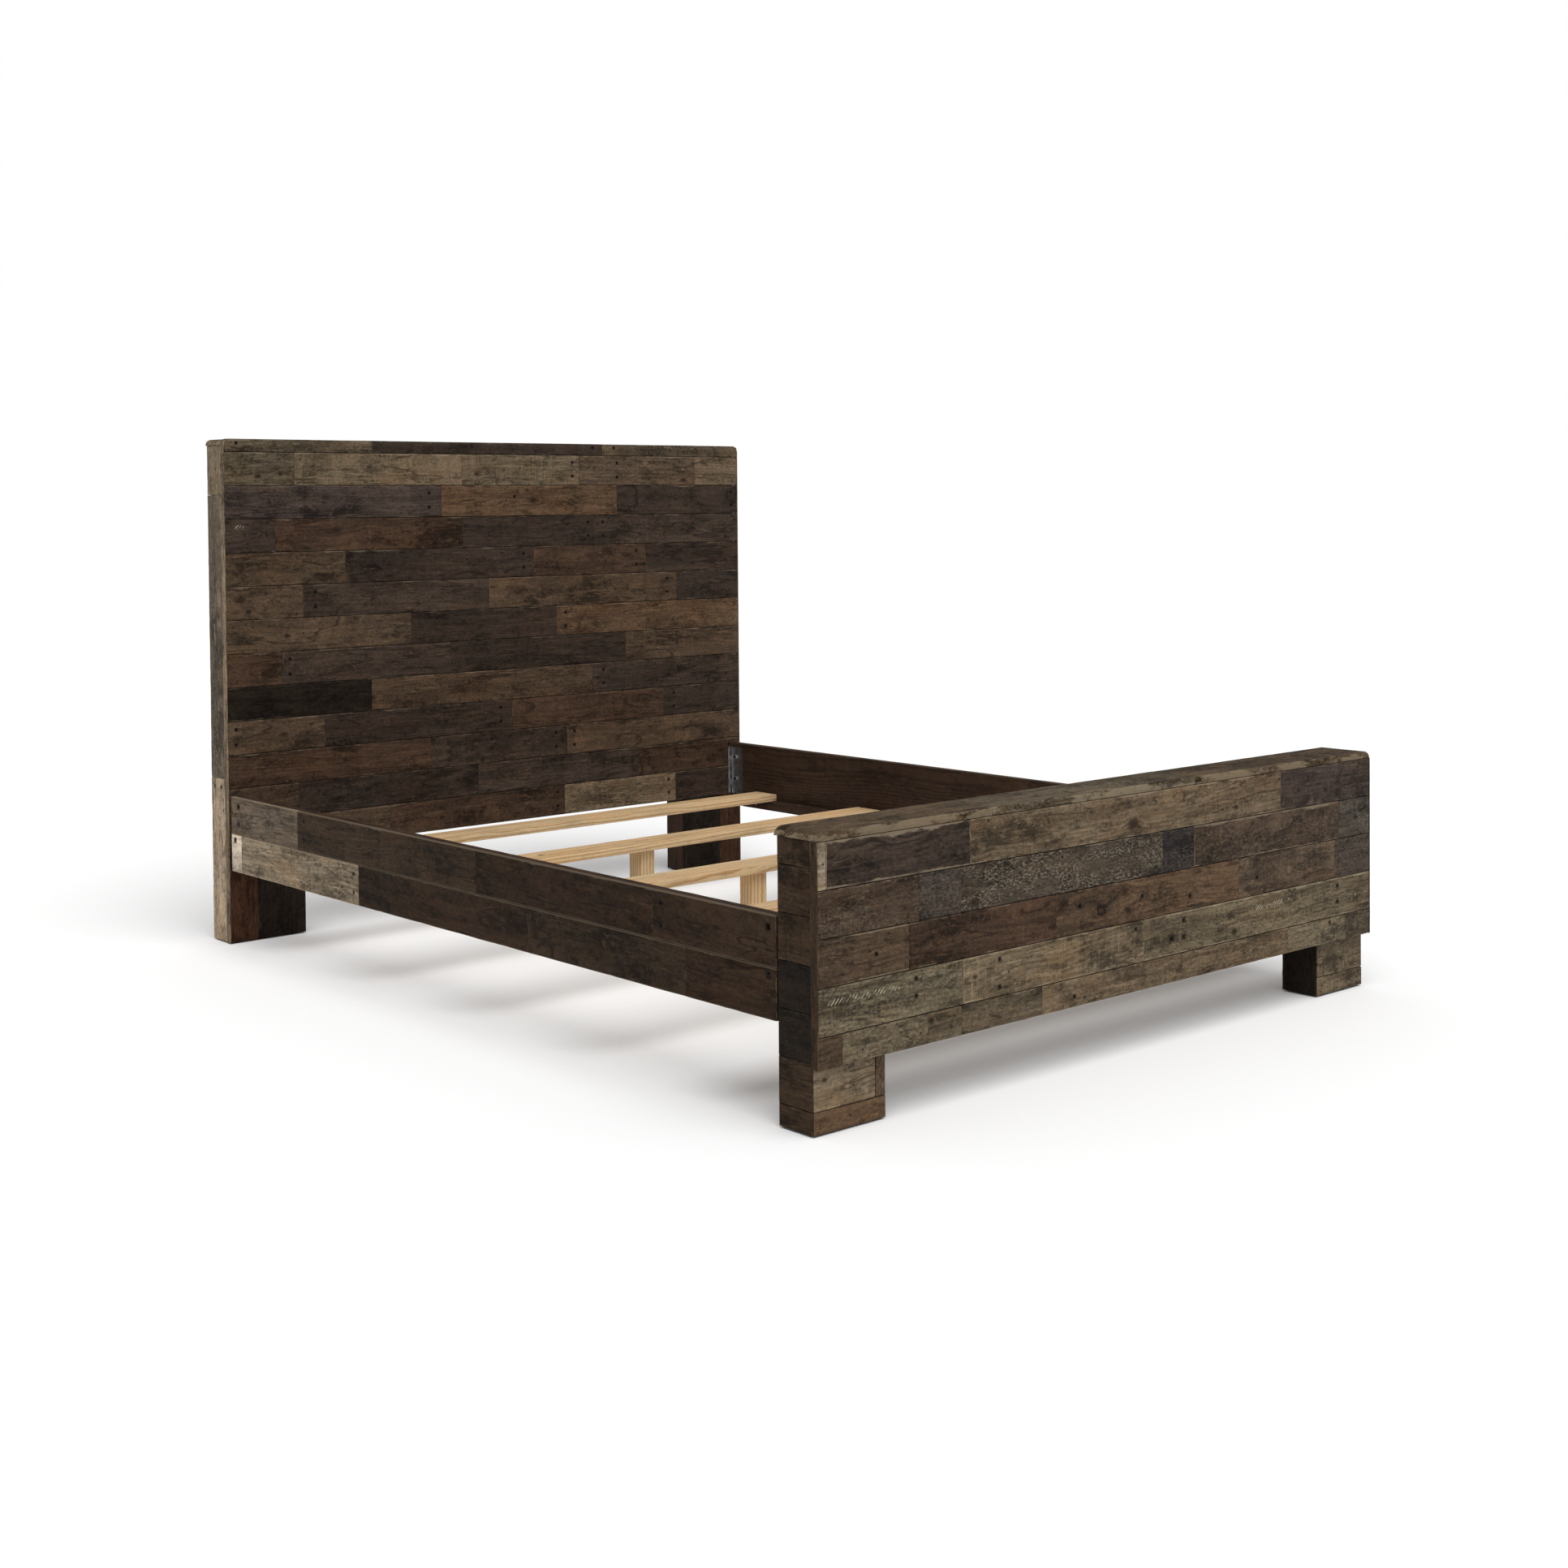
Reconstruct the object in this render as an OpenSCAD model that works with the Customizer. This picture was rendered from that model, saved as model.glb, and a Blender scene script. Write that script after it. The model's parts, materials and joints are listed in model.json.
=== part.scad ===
// Queen-size panel bed frame of reclaimed-look boards, in millimetres.
// +Z is up and +Y runs from the footboard to the headboard. The origin is on
// the floor, in the middle of the frame's width and length.

/* [Overall] */
// Width over the headboard and footboard faces
overall_w = 1634; // [1625:1:1660]
// Length from the footboard's face to the back of the headboard's cap
overall_l = 2261; // [2240:1:2300]
// Height of the headboard
head_h = 1244; // [1235:1:1270]
// Height of the footboard
foot_h = 522; // [510:1:535]

/* [Boards] */
// Height of one row of face boards
board_w = 83; // [81:1:84]
// Thickness of the face boards
board_t = 18; // [16:1:20]
// Thickness of both caps
cap_t = 16; // [14:1:18]
// Gap left at every joint between boards
seam = 0.6; // [0.4:0.1:1]
// Width of the veneer band on the ends of the face boards
band_t = 2; // [1:0.5:3]

/* [Footboard] */
// Width of a footboard leg
foot_leg_w = 170; // [150:1:190]
// Depth of a footboard leg, behind the face boards
foot_leg_d = 91; // [85:1:100]
// Lower edge of the footboard's face
foot_face_z = 119; // [110:1:125]
// Corner radius at the top of the footboard
foot_corner_r = 20; // [16:1:26]
// Thickness of the boards round a footboard leg
clad_t = 12; // [10:1:14]

/* [Headboard] */
// Width of a headboard leg
head_leg_w = 206; // [180:1:220]
// Depth of the headboard with its cap
head_d = 97; // [90:1:105]
// Lower edge of the headboard's rows
head_face_z = 216; // [210:1:216]
// Corner radius at the top of the headboard
head_corner_r = 15; // [12:1:20]
// Thickness of the boards on the headboard's sides
side_t = 10; // [8:1:12]

/* [Side rails] */
// Lower edge of the side rails
rail_z = 182; // [182:1:184]
// Height of the side rails
rail_h = 184; // [180:1:190]
// Thickness of a rail's structural board
rail_core_t = 18; // [16:1:20]
// Thickness of a rail's face boards
rail_face_t = 10; // [8:1:12]

/* [Slats] */
// Number of cross slats, with a support leg under each but the first and the last
slat_count = 5; // [5:2:5]
// Width of a slat
slat_w = 89; // [70:1:95]
// Thickness of a slat
slat_t = 19; // [18:1:22]

/* [Hidden] */
$fn = 48;
LEFT = -1;
RIGHT = 1;
FOOT = -1;
HEAD = 1;

// Floor clearance
glide_h = 3;
glide_r = 11;

// Footboard planes
foot_y0 = -overall_l / 2;
foot_leg_y0 = foot_y0 + board_t;
foot_y1 = foot_leg_y0 + foot_leg_d;
foot_cap_z = foot_h - cap_t;
cap_overhang = 4;
leg_inset = 4.5;
foot_leg_x = overall_w / 2 - leg_inset;
foot_inner_x = foot_leg_x - foot_leg_w;
back_recess = 6;
foot_back_y = foot_y1 - back_recess - clad_t;
first_leg_seam = 43;

// Headboard planes
head_y1 = overall_l / 2;
head_y0 = head_y1 - head_d;
head_post_y0 = head_y0 + board_t;
head_post_y1 = head_y1 - cap_overhang;
head_cap_z = head_h - cap_t;
head_inner_x = overall_w / 2 - head_leg_w;
head_side_x = overall_w / 2 - 1;
head_post_x = head_side_x - side_t;
back_sheet_t = 6;
head_outer_board_w = 76;
head_rows = 12;
head_strip_z = head_face_z + head_rows * board_w;

// Face boards lie between the end bands
face_x = overall_w / 2 - band_t;

// Side rails
rail_gap = 4;
rail_y0 = foot_y1 + rail_gap;
rail_y1 = head_y0 - rail_gap;
rail_outer_x = foot_leg_x;
rail_split_x = rail_outer_x - rail_face_t;
rail_inner_x = rail_split_x - rail_core_t;
rail_mid_z = rail_z + rail_h / 2;
rail_top_z = rail_z + rail_h;

// Cleats and slats
cleat_w = 20;
cleat_h = 28;
cleat_z = rail_z + 4;
cleat_top = cleat_z + cleat_h;
cleat_margin = 70;
slat_top = cleat_top + slat_t;
slat_end_gap = 3.5;
slat_x = rail_inner_x - slat_end_gap;
slat_y0 = rail_y0 + 160;
slat_pitch = (rail_y1 - rail_y0 - 320) / (slat_count - 1);

// Joints between boards, measured from the left end of each row
foot_joints = [
  [20, 370, 1305],
  [240, 345, 915, 1015, 1515],
  [215, 600, 780, 1160, 1500],
  [350, 855],
  [55, 260, 345, 560, 975, 1330, 1540]
];
head_strip_joints = [410, 1140];
head_joints = [
  [190, 680, 1060, 1470],
  [615, 1190],
  [135, 680, 1110],
  [330, 905, 1290],
  [210, 760, 1400],
  [520, 980],
  [150, 640, 1215],
  [400, 1100],
  [265, 830, 1350],
  [575, 1010],
  [190, 720, 1260],
  [450, 1000, 1390]
];
foot_back_joints = [[420, 860], [250, 900], [610], [330, 1010], [520, 900]];
foot_cap_joints = [430, 1020];
head_cap_joints = [560, 1180];
// Rail joints are measured from the footboard end
rail_upper_joints = [[350, 950, 1710], [520, 1240, 1700]];
rail_lower_joints = [[250, 760, 1430, 1995], [330, 1010, 1560]];
head_side_seams = [406, 1106];
front_split = 145;

// Rail hardware: hooks on the rail drop into slots in a plate on the post
hook_t = 2.5;
hook_plate_len = 45;
plate_z0 = rail_z + 35;
plate_z1 = rail_z + 172;
hook_bases = [rail_z + 56, rail_z + 124];
hook_drop = 8;
hook_rise = 20;
slot_h = 34;
slot_w = 4;
slot_plate_t = 3;
slot_plate_w = 22;
pocket_w = 8;
pocket_d = 12;
slot_x = rail_inner_x - hook_t / 2;
slot_screw_z = [rail_z + 40.5, rail_z + 102, rail_z + 165];
bolt_z = [rail_z + 80, rail_z + 144];
bolt_inset = 20;
bolt_r = 3;
bolt_head_r = 5.5;
bolt_head_t = 5;
counterbore_r = 6;
counterbore_d = 6;
bolt_len = 31.5;
nut_r = 5.8;
nut_t = 5;

// Wood screws
screw_r = 2;
screw_head_r = 4;
screw_head_t = 2.4;
cleat_screws_per_rail = 6;

// Dowels between the stretchers and the posts
dowel_r = 5;
dowel_len = 60;
dowel_fit = 0.1;
dowel_spread = 20;
stretcher_h = 40;

// Centre support legs and their levelling feet, an M8 stud in a tee nut
support_w = 45;
support_z = 32;
support_bore_r = 5.2;
support_bore_top = 100;
tee_flange_r = 10;
tee_flange_t = 1.5;
tee_barrel_r = 5.1;
tee_barrel_h = 10;
stud_r = 4;
stud_fit = 0.05;
stud_top = 70;
pad_r = 19;
pad_h = 10;
pad_socket_z = 3;
stud_hex_r = 8;
stud_hex_h = 6;

// Colours
tan_board = "#7d6b54";
grey_board = "#6a6156";
brown_board = "#5c4636";
dark_board = "#40342e";
band_wood = "#6b4f3c";
pine = "#c9ab7c";
sheet_brown = "#6f5a45";
zinc = "#a9abad";
black_steel = "#1d1d1f";
black_plastic = "#232325";

function row_ends(x0, x1, joints) = concat([x0], [for (j = joints) x0 + j], [x1]);
function foot_row_z(i) = foot_cap_z - i * board_w;
function slat_y(i) = slat_y0 + i * slat_pitch;
leg_seams = [glide_h, for (i = [0 : 5]) first_leg_seam + i * board_w, foot_cap_z];
supported = [for (i = [1 : slat_count - 2]) slat_y(i)];

FOOT_ROWS = [for (i = [1 : 5]) str("foot_row_", i)];
HEAD_ROWS = [for (i = [1 : head_rows]) str("head_row_", i)];
LEVELLERS = [1, 2, 3];
STUDS = [for (i = LEVELLERS) str("leveller_stud_", i)];
PADS = [for (i = LEVELLERS) str("leveller_pad_", i)];

// ---------------------------------------------------------------- helpers

// A box between two corners, in either order
module block(a, b) {
  low = [for (i = [0 : 2]) min(a[i], b[i])];
  high = [for (i = [0 : 2]) max(a[i], b[i])];
  translate(low) cube(high - low);
}

// Boards laid end to end along X, with a hairline gap round each
module row_along_x(ends, y0, y1, z0, z1)
  for (i = [0 : len(ends) - 2])
    block([ends[i] + seam / 2, y0, z0 + seam / 2], [ends[i + 1] - seam / 2, y1, z1 - seam / 2]);

// Boards laid end to end along Y
module row_along_y(ends, x0, x1, z0, z1)
  for (i = [0 : len(ends) - 2])
    block([x0, ends[i] + seam / 2, z0 + seam / 2], [x1, ends[i + 1] - seam / 2, z1 - seam / 2]);

// A slab across the bed with both top corners rounded, seen from the foot
module rounded_slab(w, h, r, y0, y1)
  translate([0, y1, 0]) rotate([90, 0, 0]) linear_extrude(height = y1 - y0) {
    translate([-w / 2, 0]) square([w, h - r]);
    translate([-w / 2 + r, 0]) square([w - 2 * r, h]);
    for (s = [LEFT, RIGHT]) translate([s * (w / 2 - r), h - r]) circle(r);
  }

module x_cylinder(r, x0, x1, y, z)
  translate([min(x0, x1), y, z]) rotate([0, 90, 0]) cylinder(r = r, h = abs(x1 - x0));

// A countersunk wood screw that points down from the origin
module wood_screw(len) {
  translate([0, 0, -screw_head_t])
    cylinder(r1 = screw_r, r2 = screw_head_r, h = screw_head_t);
  translate([0, 0, -len]) cylinder(r = screw_r, h = len - screw_head_t);
}

// ------------------------------------------------- cuts shared by several parts

// Recess and pockets for the slot plate of one post
module slot_plate_cut(side, end) {
  face = end == FOOT ? foot_y1 : head_y0;
  x = side * slot_x;
  block([x - slot_plate_w / 2, face - end, plate_z0],
        [x + slot_plate_w / 2, face + end * slot_plate_t, plate_z1]);
  for (z = hook_bases)
    block([x - pocket_w / 2, face, z - hook_drop - 2],
          [x + pocket_w / 2, face + end * (slot_plate_t + pocket_d), z + slot_h]);
}

// Every dowel, longer and wider by the fit when it is used as a cut
module dowels(fit) {
  foot_y = (foot_leg_y0 + foot_back_y) / 2;
  head_y = (head_post_y0 + head_post_y1 - back_sheet_t) / 2;
  for (side = [LEFT, RIGHT], dy = [-dowel_spread, dowel_spread]) {
    for (z = foot_stretcher_z())
      x_cylinder(dowel_r + fit, side * (foot_inner_x - dowel_len / 2 - fit),
                 side * (foot_inner_x + dowel_len / 2 + fit), foot_y + dy, z + stretcher_h / 2);
    for (z = head_stretcher_z())
      x_cylinder(dowel_r + fit, side * (head_inner_x - dowel_len / 2 - fit),
                 side * (head_inner_x + dowel_len / 2 + fit), head_y + dy, z + stretcher_h / 2);
  }
}

function foot_stretcher_z() = [foot_face_z, foot_cap_z - stretcher_h];
function head_stretcher_z() = [head_face_z, 690, head_cap_z - stretcher_h];

// ------------------------------------------------------------- footboard

module foot_post(side)
  color(pine) difference() {
    block([side * (foot_leg_x - clad_t), foot_leg_y0 + clad_t, glide_h],
          [side * (foot_inner_x + clad_t), foot_y1 - clad_t, foot_cap_z]);
    slot_plate_cut(side, FOOT);
    dowels(dowel_fit);
  }

// One mitred board of the leg's casing: an outline in plan between two heights
module clad_board(outline, z0, z1)
  translate([0, 0, z0 + seam / 2]) linear_extrude(height = z1 - z0 - seam) polygon(outline);

// Boards round a leg, mitred at the corners. The front's second row is split
// on the left leg.
module foot_leg_boards(side) {
  xo = side * foot_leg_x;
  xi = side * foot_inner_x;
  t = side * clad_t;
  xs = xo - side * front_split;
  g = side * seam / 2;
  y0 = foot_leg_y0;
  y1 = foot_y1;
  front = [[xo, y0], [xi, y0], [xi + t, y0 + clad_t], [xo - t, y0 + clad_t]];
  front_outer = [[xo, y0], [xs + g, y0], [xs + g, y0 + clad_t], [xo - t, y0 + clad_t]];
  front_inner = [[xs - g, y0], [xi, y0], [xi + t, y0 + clad_t], [xs - g, y0 + clad_t]];
  m = seam / 2;
  outer = [[xo, y0 + m], [xo - t, y0 + clad_t + m], [xo - t, y1 - clad_t - m], [xo, y1 - m]];
  inner = [[xi, y0 + m], [xi + t, y0 + clad_t + m], [xi + t, y1 - clad_t - m], [xi, y1 - m]];
  back = [[xo, y1], [xi, y1], [xi + t, y1 - clad_t], [xo - t, y1 - clad_t]];
  color(brown_board) difference() {
    union() {
      for (i = [0 : len(leg_seams) - 2]) clad_board(outer, leg_seams[i], leg_seams[i + 1]);
      clad_board(front, leg_seams[0], leg_seams[1]);
      if (side == LEFT) {
        clad_board(front_outer, leg_seams[1], leg_seams[2]);
        clad_board(front_inner, leg_seams[1], leg_seams[2]);
      } else
        clad_board(front, leg_seams[1], leg_seams[2]);
      clad_board(front, leg_seams[2], foot_cap_z);
      clad_board(inner, glide_h, foot_cap_z);
      clad_board(back, glide_h, foot_cap_z);
    }
    slot_plate_cut(side, FOOT);
    dowels(dowel_fit);
  }
}

module foot_row(i) {
  z1 = foot_row_z(i);
  z0 = i == len(foot_joints) - 1 ? foot_face_z : foot_row_z(i + 1);
  color(i % 2 == 0 ? tan_board : grey_board) intersection() {
    row_along_x(row_ends(-face_x, face_x, foot_joints[i]), foot_y0, foot_leg_y0, z0, z1);
    rounded_slab(overall_w, foot_h, foot_corner_r, foot_y0, foot_leg_y0);
  }
}

module foot_edge_bands()
  color(band_wood) intersection() {
    for (side = [LEFT, RIGHT])
      block([side * face_x, foot_y0, foot_face_z],
            [side * overall_w / 2, foot_leg_y0, foot_cap_z - seam / 2]);
    rounded_slab(overall_w, foot_h, foot_corner_r, foot_y0, foot_leg_y0);
  }

module foot_cap()
  color(tan_board) intersection() {
    row_along_x(row_ends(-overall_w / 2 - seam / 2, overall_w / 2 + seam / 2, foot_cap_joints),
                foot_y0, foot_y1 + cap_overhang, foot_cap_z - seam / 2, foot_h + seam / 2);
    rounded_slab(overall_w, foot_h, foot_corner_r, foot_y0, foot_y1 + cap_overhang);
  }

module foot_back_boards()
  color(grey_board)
    for (i = [0 : len(foot_back_joints) - 1]) {
      z1 = foot_row_z(i);
      z0 = i == len(foot_back_joints) - 1 ? foot_face_z : foot_row_z(i + 1);
      row_along_x(row_ends(-foot_inner_x, foot_inner_x, foot_back_joints[i]),
                  foot_back_y, foot_back_y + clad_t, z0, z1);
    }

module foot_stretchers()
  color(pine) difference() {
    for (z = foot_stretcher_z())
      block([-foot_inner_x, foot_leg_y0, z], [foot_inner_x, foot_back_y, z + stretcher_h]);
    dowels(dowel_fit);
  }

// ------------------------------------------------------------- headboard

// The post's back is rebated for the back sheet
module head_post(side)
  color(pine) difference() {
    block([side * head_inner_x, head_post_y0, glide_h],
          [side * head_post_x, head_post_y1, head_cap_z]);
    block([side * (head_inner_x - 1), head_post_y1 - back_sheet_t, head_face_z],
          [side * (head_post_x + 1), head_post_y1 + 1, head_cap_z + 1]);
    dowels(dowel_fit);
  }

module head_side_boards()
  color(tan_board) {
    seams = concat([glide_h], head_side_seams, [head_cap_z]);
    for (side = [LEFT, RIGHT], i = [0 : len(seams) - 2])
      block([side * head_post_x, head_post_y0 + seam / 2, seams[i] + seam / 2],
            [side * head_side_x, head_post_y1, seams[i + 1] - seam / 2]);
  }

module head_top_strip()
  color(brown_board) intersection() {
    row_along_x(row_ends(-face_x, face_x, head_strip_joints),
                head_y0, head_post_y0, head_strip_z, head_h + seam / 2);
    rounded_slab(overall_w, head_h, head_corner_r, head_y0, head_post_y0);
  }

module head_row(i) {
  z1 = head_strip_z - i * board_w;
  color(i == 0 ? tan_board : dark_board) difference() {
    row_along_x(row_ends(-face_x, face_x, head_joints[i]),
                head_y0, head_post_y0, z1 - board_w, z1);
    for (side = [LEFT, RIGHT]) slot_plate_cut(side, HEAD);
  }
}

// Two upright boards on the front of each leg, below the rows
module head_leg_boards()
  color(dark_board)
    for (side = [LEFT, RIGHT]) {
      split = face_x - head_outer_board_w;
      block([side * (face_x - seam / 2), head_y0, glide_h],
            [side * (split + seam / 2), head_post_y0, head_face_z - seam / 2]);
      block([side * (split - seam / 2), head_y0, glide_h],
            [side * head_inner_x, head_post_y0, head_face_z - seam / 2]);
    }

module head_edge_bands()
  color(band_wood) intersection() {
    for (side = [LEFT, RIGHT])
      block([side * face_x, head_y0, glide_h],
            [side * overall_w / 2, head_post_y0, head_h]);
    rounded_slab(overall_w, head_h, head_corner_r, head_y0, head_post_y0);
  }

module head_cap()
  color(tan_board) intersection() {
    row_along_x(row_ends(-overall_w / 2 - seam / 2, overall_w / 2 + seam / 2, head_cap_joints),
                head_post_y0 + seam / 2, head_y1, head_cap_z - seam / 2, head_h + seam / 2);
    rounded_slab(overall_w, head_h, head_corner_r, head_post_y0, head_y1);
  }

module head_back_sheet()
  color(sheet_brown)
    block([-head_post_x, head_post_y1 - back_sheet_t, head_face_z],
          [head_post_x, head_post_y1, head_cap_z]);

module head_stretchers()
  color(pine) difference() {
    for (z = head_stretcher_z())
      block([-head_inner_x, head_post_y0, z],
            [head_inner_x, head_post_y1 - back_sheet_t, z + stretcher_h]);
    dowels(dowel_fit);
  }

// ------------------------------------------------------------- side rails

// Bolt holes through a rail, with counterbores in its face boards
module rail_bolt_holes(side)
  for (y = [rail_y0 + bolt_inset, rail_y1 - bolt_inset], z = bolt_z) {
    x_cylinder(bolt_r + 0.2, side * (rail_inner_x - 5), side * (rail_outer_x + 1), y, z);
    x_cylinder(counterbore_r, side * (rail_outer_x - counterbore_d),
               side * (rail_outer_x + 1), y, z);
  }

module rail_core(side)
  color(pine) difference() {
    block([side * rail_inner_x, rail_y0, rail_z], [side * rail_split_x, rail_y1, rail_top_z]);
    rail_bolt_holes(side);
  }

module rail_boards(side) {
  rows = side == LEFT ? 0 : 1;
  color(brown_board) difference() {
    union() {
      row_along_y(row_ends(rail_y0, rail_y1, rail_upper_joints[rows]),
                  side * rail_split_x, side * rail_outer_x, rail_mid_z, rail_top_z);
      row_along_y(row_ends(rail_y0, rail_y1, rail_lower_joints[rows]),
                  side * rail_split_x, side * rail_outer_x, rail_z, rail_mid_z);
    }
    rail_bolt_holes(side);
  }
}

module rail_cleat(side)
  color(pine)
    block([side * (rail_inner_x - cleat_w), rail_y0 + cleat_margin, cleat_z],
          [side * rail_inner_x, rail_y1 - cleat_margin, cleat_top]);

// ------------------------------------------------------- slats and supports

module cross_slats()
  color(pine)
    for (i = [0 : slat_count - 1])
      block([-slat_x, slat_y(i) - slat_w / 2, cleat_top], [slat_x, slat_y(i) + slat_w / 2, slat_top]);

module support_legs()
  color(pine)
    for (y = supported)
      difference() {
        block([-support_w / 2, y - support_w / 2, support_z],
              [support_w / 2, y + support_w / 2, cleat_top]);
        translate([0, y, support_z - 1])
          cylinder(r = support_bore_r, h = support_bore_top - support_z + 1);
      }

module tee_nuts()
  color(zinc)
    for (y = supported)
      translate([0, y, support_z - tee_flange_t])
        difference() {
          union() {
            cylinder(r = tee_flange_r, h = tee_flange_t);
            cylinder(r = tee_barrel_r, h = tee_flange_t + tee_barrel_h);
          }
          translate([0, 0, -1]) cylinder(r = stud_r + stud_fit, h = tee_barrel_h + 4);
        }

module leveller_stud(i)
  color(zinc)
    translate([0, supported[i - 1], 0]) {
      translate([0, 0, pad_socket_z + stud_fit])
        cylinder(r = stud_r, h = stud_top - pad_socket_z - stud_fit);
      translate([0, 0, pad_h + stud_fit]) cylinder(r = stud_hex_r, h = stud_hex_h, $fn = 6);
    }

module leveller_pad(i)
  color(black_plastic)
    translate([0, supported[i - 1], 0])
      difference() {
        union() {
          cylinder(r = pad_r, h = pad_h - 4);
          translate([0, 0, pad_h - 4]) cylinder(r1 = pad_r, r2 = pad_r - 5, h = 4);
        }
        translate([0, 0, pad_socket_z]) cylinder(r = stud_r + stud_fit, h = pad_h);
      }

// ------------------------------------------------------------- hardware

// Hook plate seen from the side: y counts outwards from the rail's end
module hook_plate_outline() {
  translate([-hook_plate_len, plate_z0]) square([hook_plate_len, plate_z1 - plate_z0]);
  reach = rail_gap + slot_plate_t + 0.4;
  for (z = hook_bases)
    polygon([[-1, z + 0.3], [reach, z + 0.3], [reach, z - hook_drop],
             [reach + 4, z - hook_drop], [reach + 6, z - hook_drop + 4],
             [reach + 6, z + hook_rise - 4], [reach + 2, z + hook_rise], [-1, z + hook_rise]]);
}

module rail_hook_plates()
  color(zinc)
    for (side = [LEFT, RIGHT], end = [FOOT, HEAD]) {
      x0 = side == LEFT ? -rail_inner_x : rail_inner_x - hook_t;
      rail_end = end == FOOT ? rail_y0 : rail_y1;
      difference() {
        translate([x0, rail_end, 0]) mirror([0, end == FOOT ? 1 : 0, 0])
          rotate([90, 0, 90]) linear_extrude(height = hook_t) hook_plate_outline();
        rail_bolt_holes(side);
      }
    }

module post_slot_plates()
  color(zinc)
    for (side = [LEFT, RIGHT], end = [FOOT, HEAD]) {
      face = end == FOOT ? foot_y1 : head_y0;
      x = side * slot_x;
      difference() {
        block([x - slot_plate_w / 2 + 0.2, face, plate_z0 + 0.2],
              [x + slot_plate_w / 2 - 0.2, face + end * slot_plate_t, plate_z1 - 0.2]);
        for (z = hook_bases)
          block([x - slot_w / 2, face - end, z], [x + slot_w / 2, face + end * 5, z + slot_h]);
        for (z = slot_screw_z)
          translate([x, face, z]) rotate([end * 90, 0, 0]) {
            translate([0, 0, -screw_head_t])
              cylinder(r1 = screw_r + 0.2, r2 = screw_head_r + 0.2, h = screw_head_t);
            translate([0, 0, -5]) cylinder(r = screw_r + 0.2, h = 5);
          }
      }
    }

module slot_plate_screws()
  color(zinc)
    for (side = [LEFT, RIGHT], end = [FOOT, HEAD], z = slot_screw_z)
      translate([side * slot_x, end == FOOT ? foot_y1 : head_y0, z])
        rotate([end * 90, 0, 0]) wood_screw(25);

module hook_plate_bolts()
  color(black_steel)
    for (side = [LEFT, RIGHT], y = [rail_y0 + bolt_inset, rail_y1 - bolt_inset], z = bolt_z) {
      seat = rail_outer_x - counterbore_d;
      difference() {
        union() {
          x_cylinder(bolt_head_r, side * seat, side * (seat + bolt_head_t), y, z);
          x_cylinder(bolt_r, side * (seat - bolt_len), side * seat, y, z);
        }
        translate([side * (seat + bolt_head_t + 1), y, z]) rotate([0, side * -90, 0])
          cylinder(r = 2.9, h = 4, $fn = 6);
      }
    }

module hook_plate_nuts()
  color(zinc)
    for (side = [LEFT, RIGHT], y = [rail_y0 + bolt_inset, rail_y1 - bolt_inset], z = bolt_z) {
      seat = rail_inner_x - hook_t;
      translate([side * seat, y, z]) rotate([0, side * -90, 0])
        difference() {
          cylinder(r = nut_r, h = nut_t, $fn = 6);
          translate([0, 0, -1]) cylinder(r = bolt_r + 0.05, h = nut_t + 2);
        }
    }

module cleat_screws()
  color(zinc) {
    first = rail_y0 + cleat_margin + 60;
    pitch = (rail_y1 - rail_y0 - 2 * cleat_margin - 120) / (cleat_screws_per_rail - 1);
    for (side = [LEFT, RIGHT], i = [0 : cleat_screws_per_rail - 1])
      translate([side * (rail_inner_x - cleat_w), first + i * pitch, cleat_z + cleat_h / 2])
        rotate([0, side * -90, 0]) wood_screw(32);
  }

module slat_screws()
  color(zinc)
    for (side = [LEFT, RIGHT], i = [0 : slat_count - 1])
      translate([side * (rail_inner_x - cleat_w / 2), slat_y(i) + slat_w / 4, slat_top])
        wood_screw(38);

module support_leg_screws()
  color(zinc)
    for (y = supported, dx = [-14, 14]) translate([dx, y, slat_top]) wood_screw(60);

module stretcher_dowels() color(pine) dowels(0);

// Two nail-on glides under each post
module post_glides()
  color(black_plastic)
    for (side = [LEFT, RIGHT], dx = [-50, 50]) {
      foot_c = [side * (foot_leg_x + foot_inner_x) / 2 + dx, (foot_leg_y0 + foot_y1) / 2, 0];
      head_c = [side * (head_post_x + head_inner_x) / 2 + dx,
                (head_post_y0 + head_post_y1) / 2, 0];
      for (c = [foot_c, head_c])
        translate(c) {
          cylinder(r1 = glide_r - 1, r2 = glide_r, h = 1);
          translate([0, 0, 1]) cylinder(r = glide_r, h = glide_h - 1);
        }
    }

// ------------------------------------------------------------- assembly

foot_post(LEFT);  // foot_post_left
foot_post(RIGHT);  // foot_post_right
foot_leg_boards(LEFT);  // foot_leg_boards_left
foot_leg_boards(RIGHT);  // foot_leg_boards_right
for (i = [0 : 4])
  foot_row(i);
foot_edge_bands();
foot_cap();
foot_back_boards();
foot_stretchers();
head_post(LEFT);  // head_post_left
head_post(RIGHT);  // head_post_right
head_side_boards();
head_top_strip();
for (i = [0 : head_rows - 1])
  head_row(i);
head_leg_boards();
head_edge_bands();
head_cap();
head_back_sheet();
head_stretchers();
rail_core(LEFT);  // rail_core_left
rail_core(RIGHT);  // rail_core_right
rail_boards(LEFT);  // rail_boards_left
rail_boards(RIGHT);  // rail_boards_right
rail_cleat(LEFT);  // rail_cleat_left
rail_cleat(RIGHT);  // rail_cleat_right
cross_slats();
support_legs();
tee_nuts();
for (i = LEVELLERS) {
  leveller_stud(i);
  leveller_pad(i);
}
rail_hook_plates();
post_slot_plates();
hook_plate_bolts();
hook_plate_nuts();
slot_plate_screws();
cleat_screws();
slat_screws();
support_leg_screws();
stretcher_dowels();
post_glides();
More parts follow.
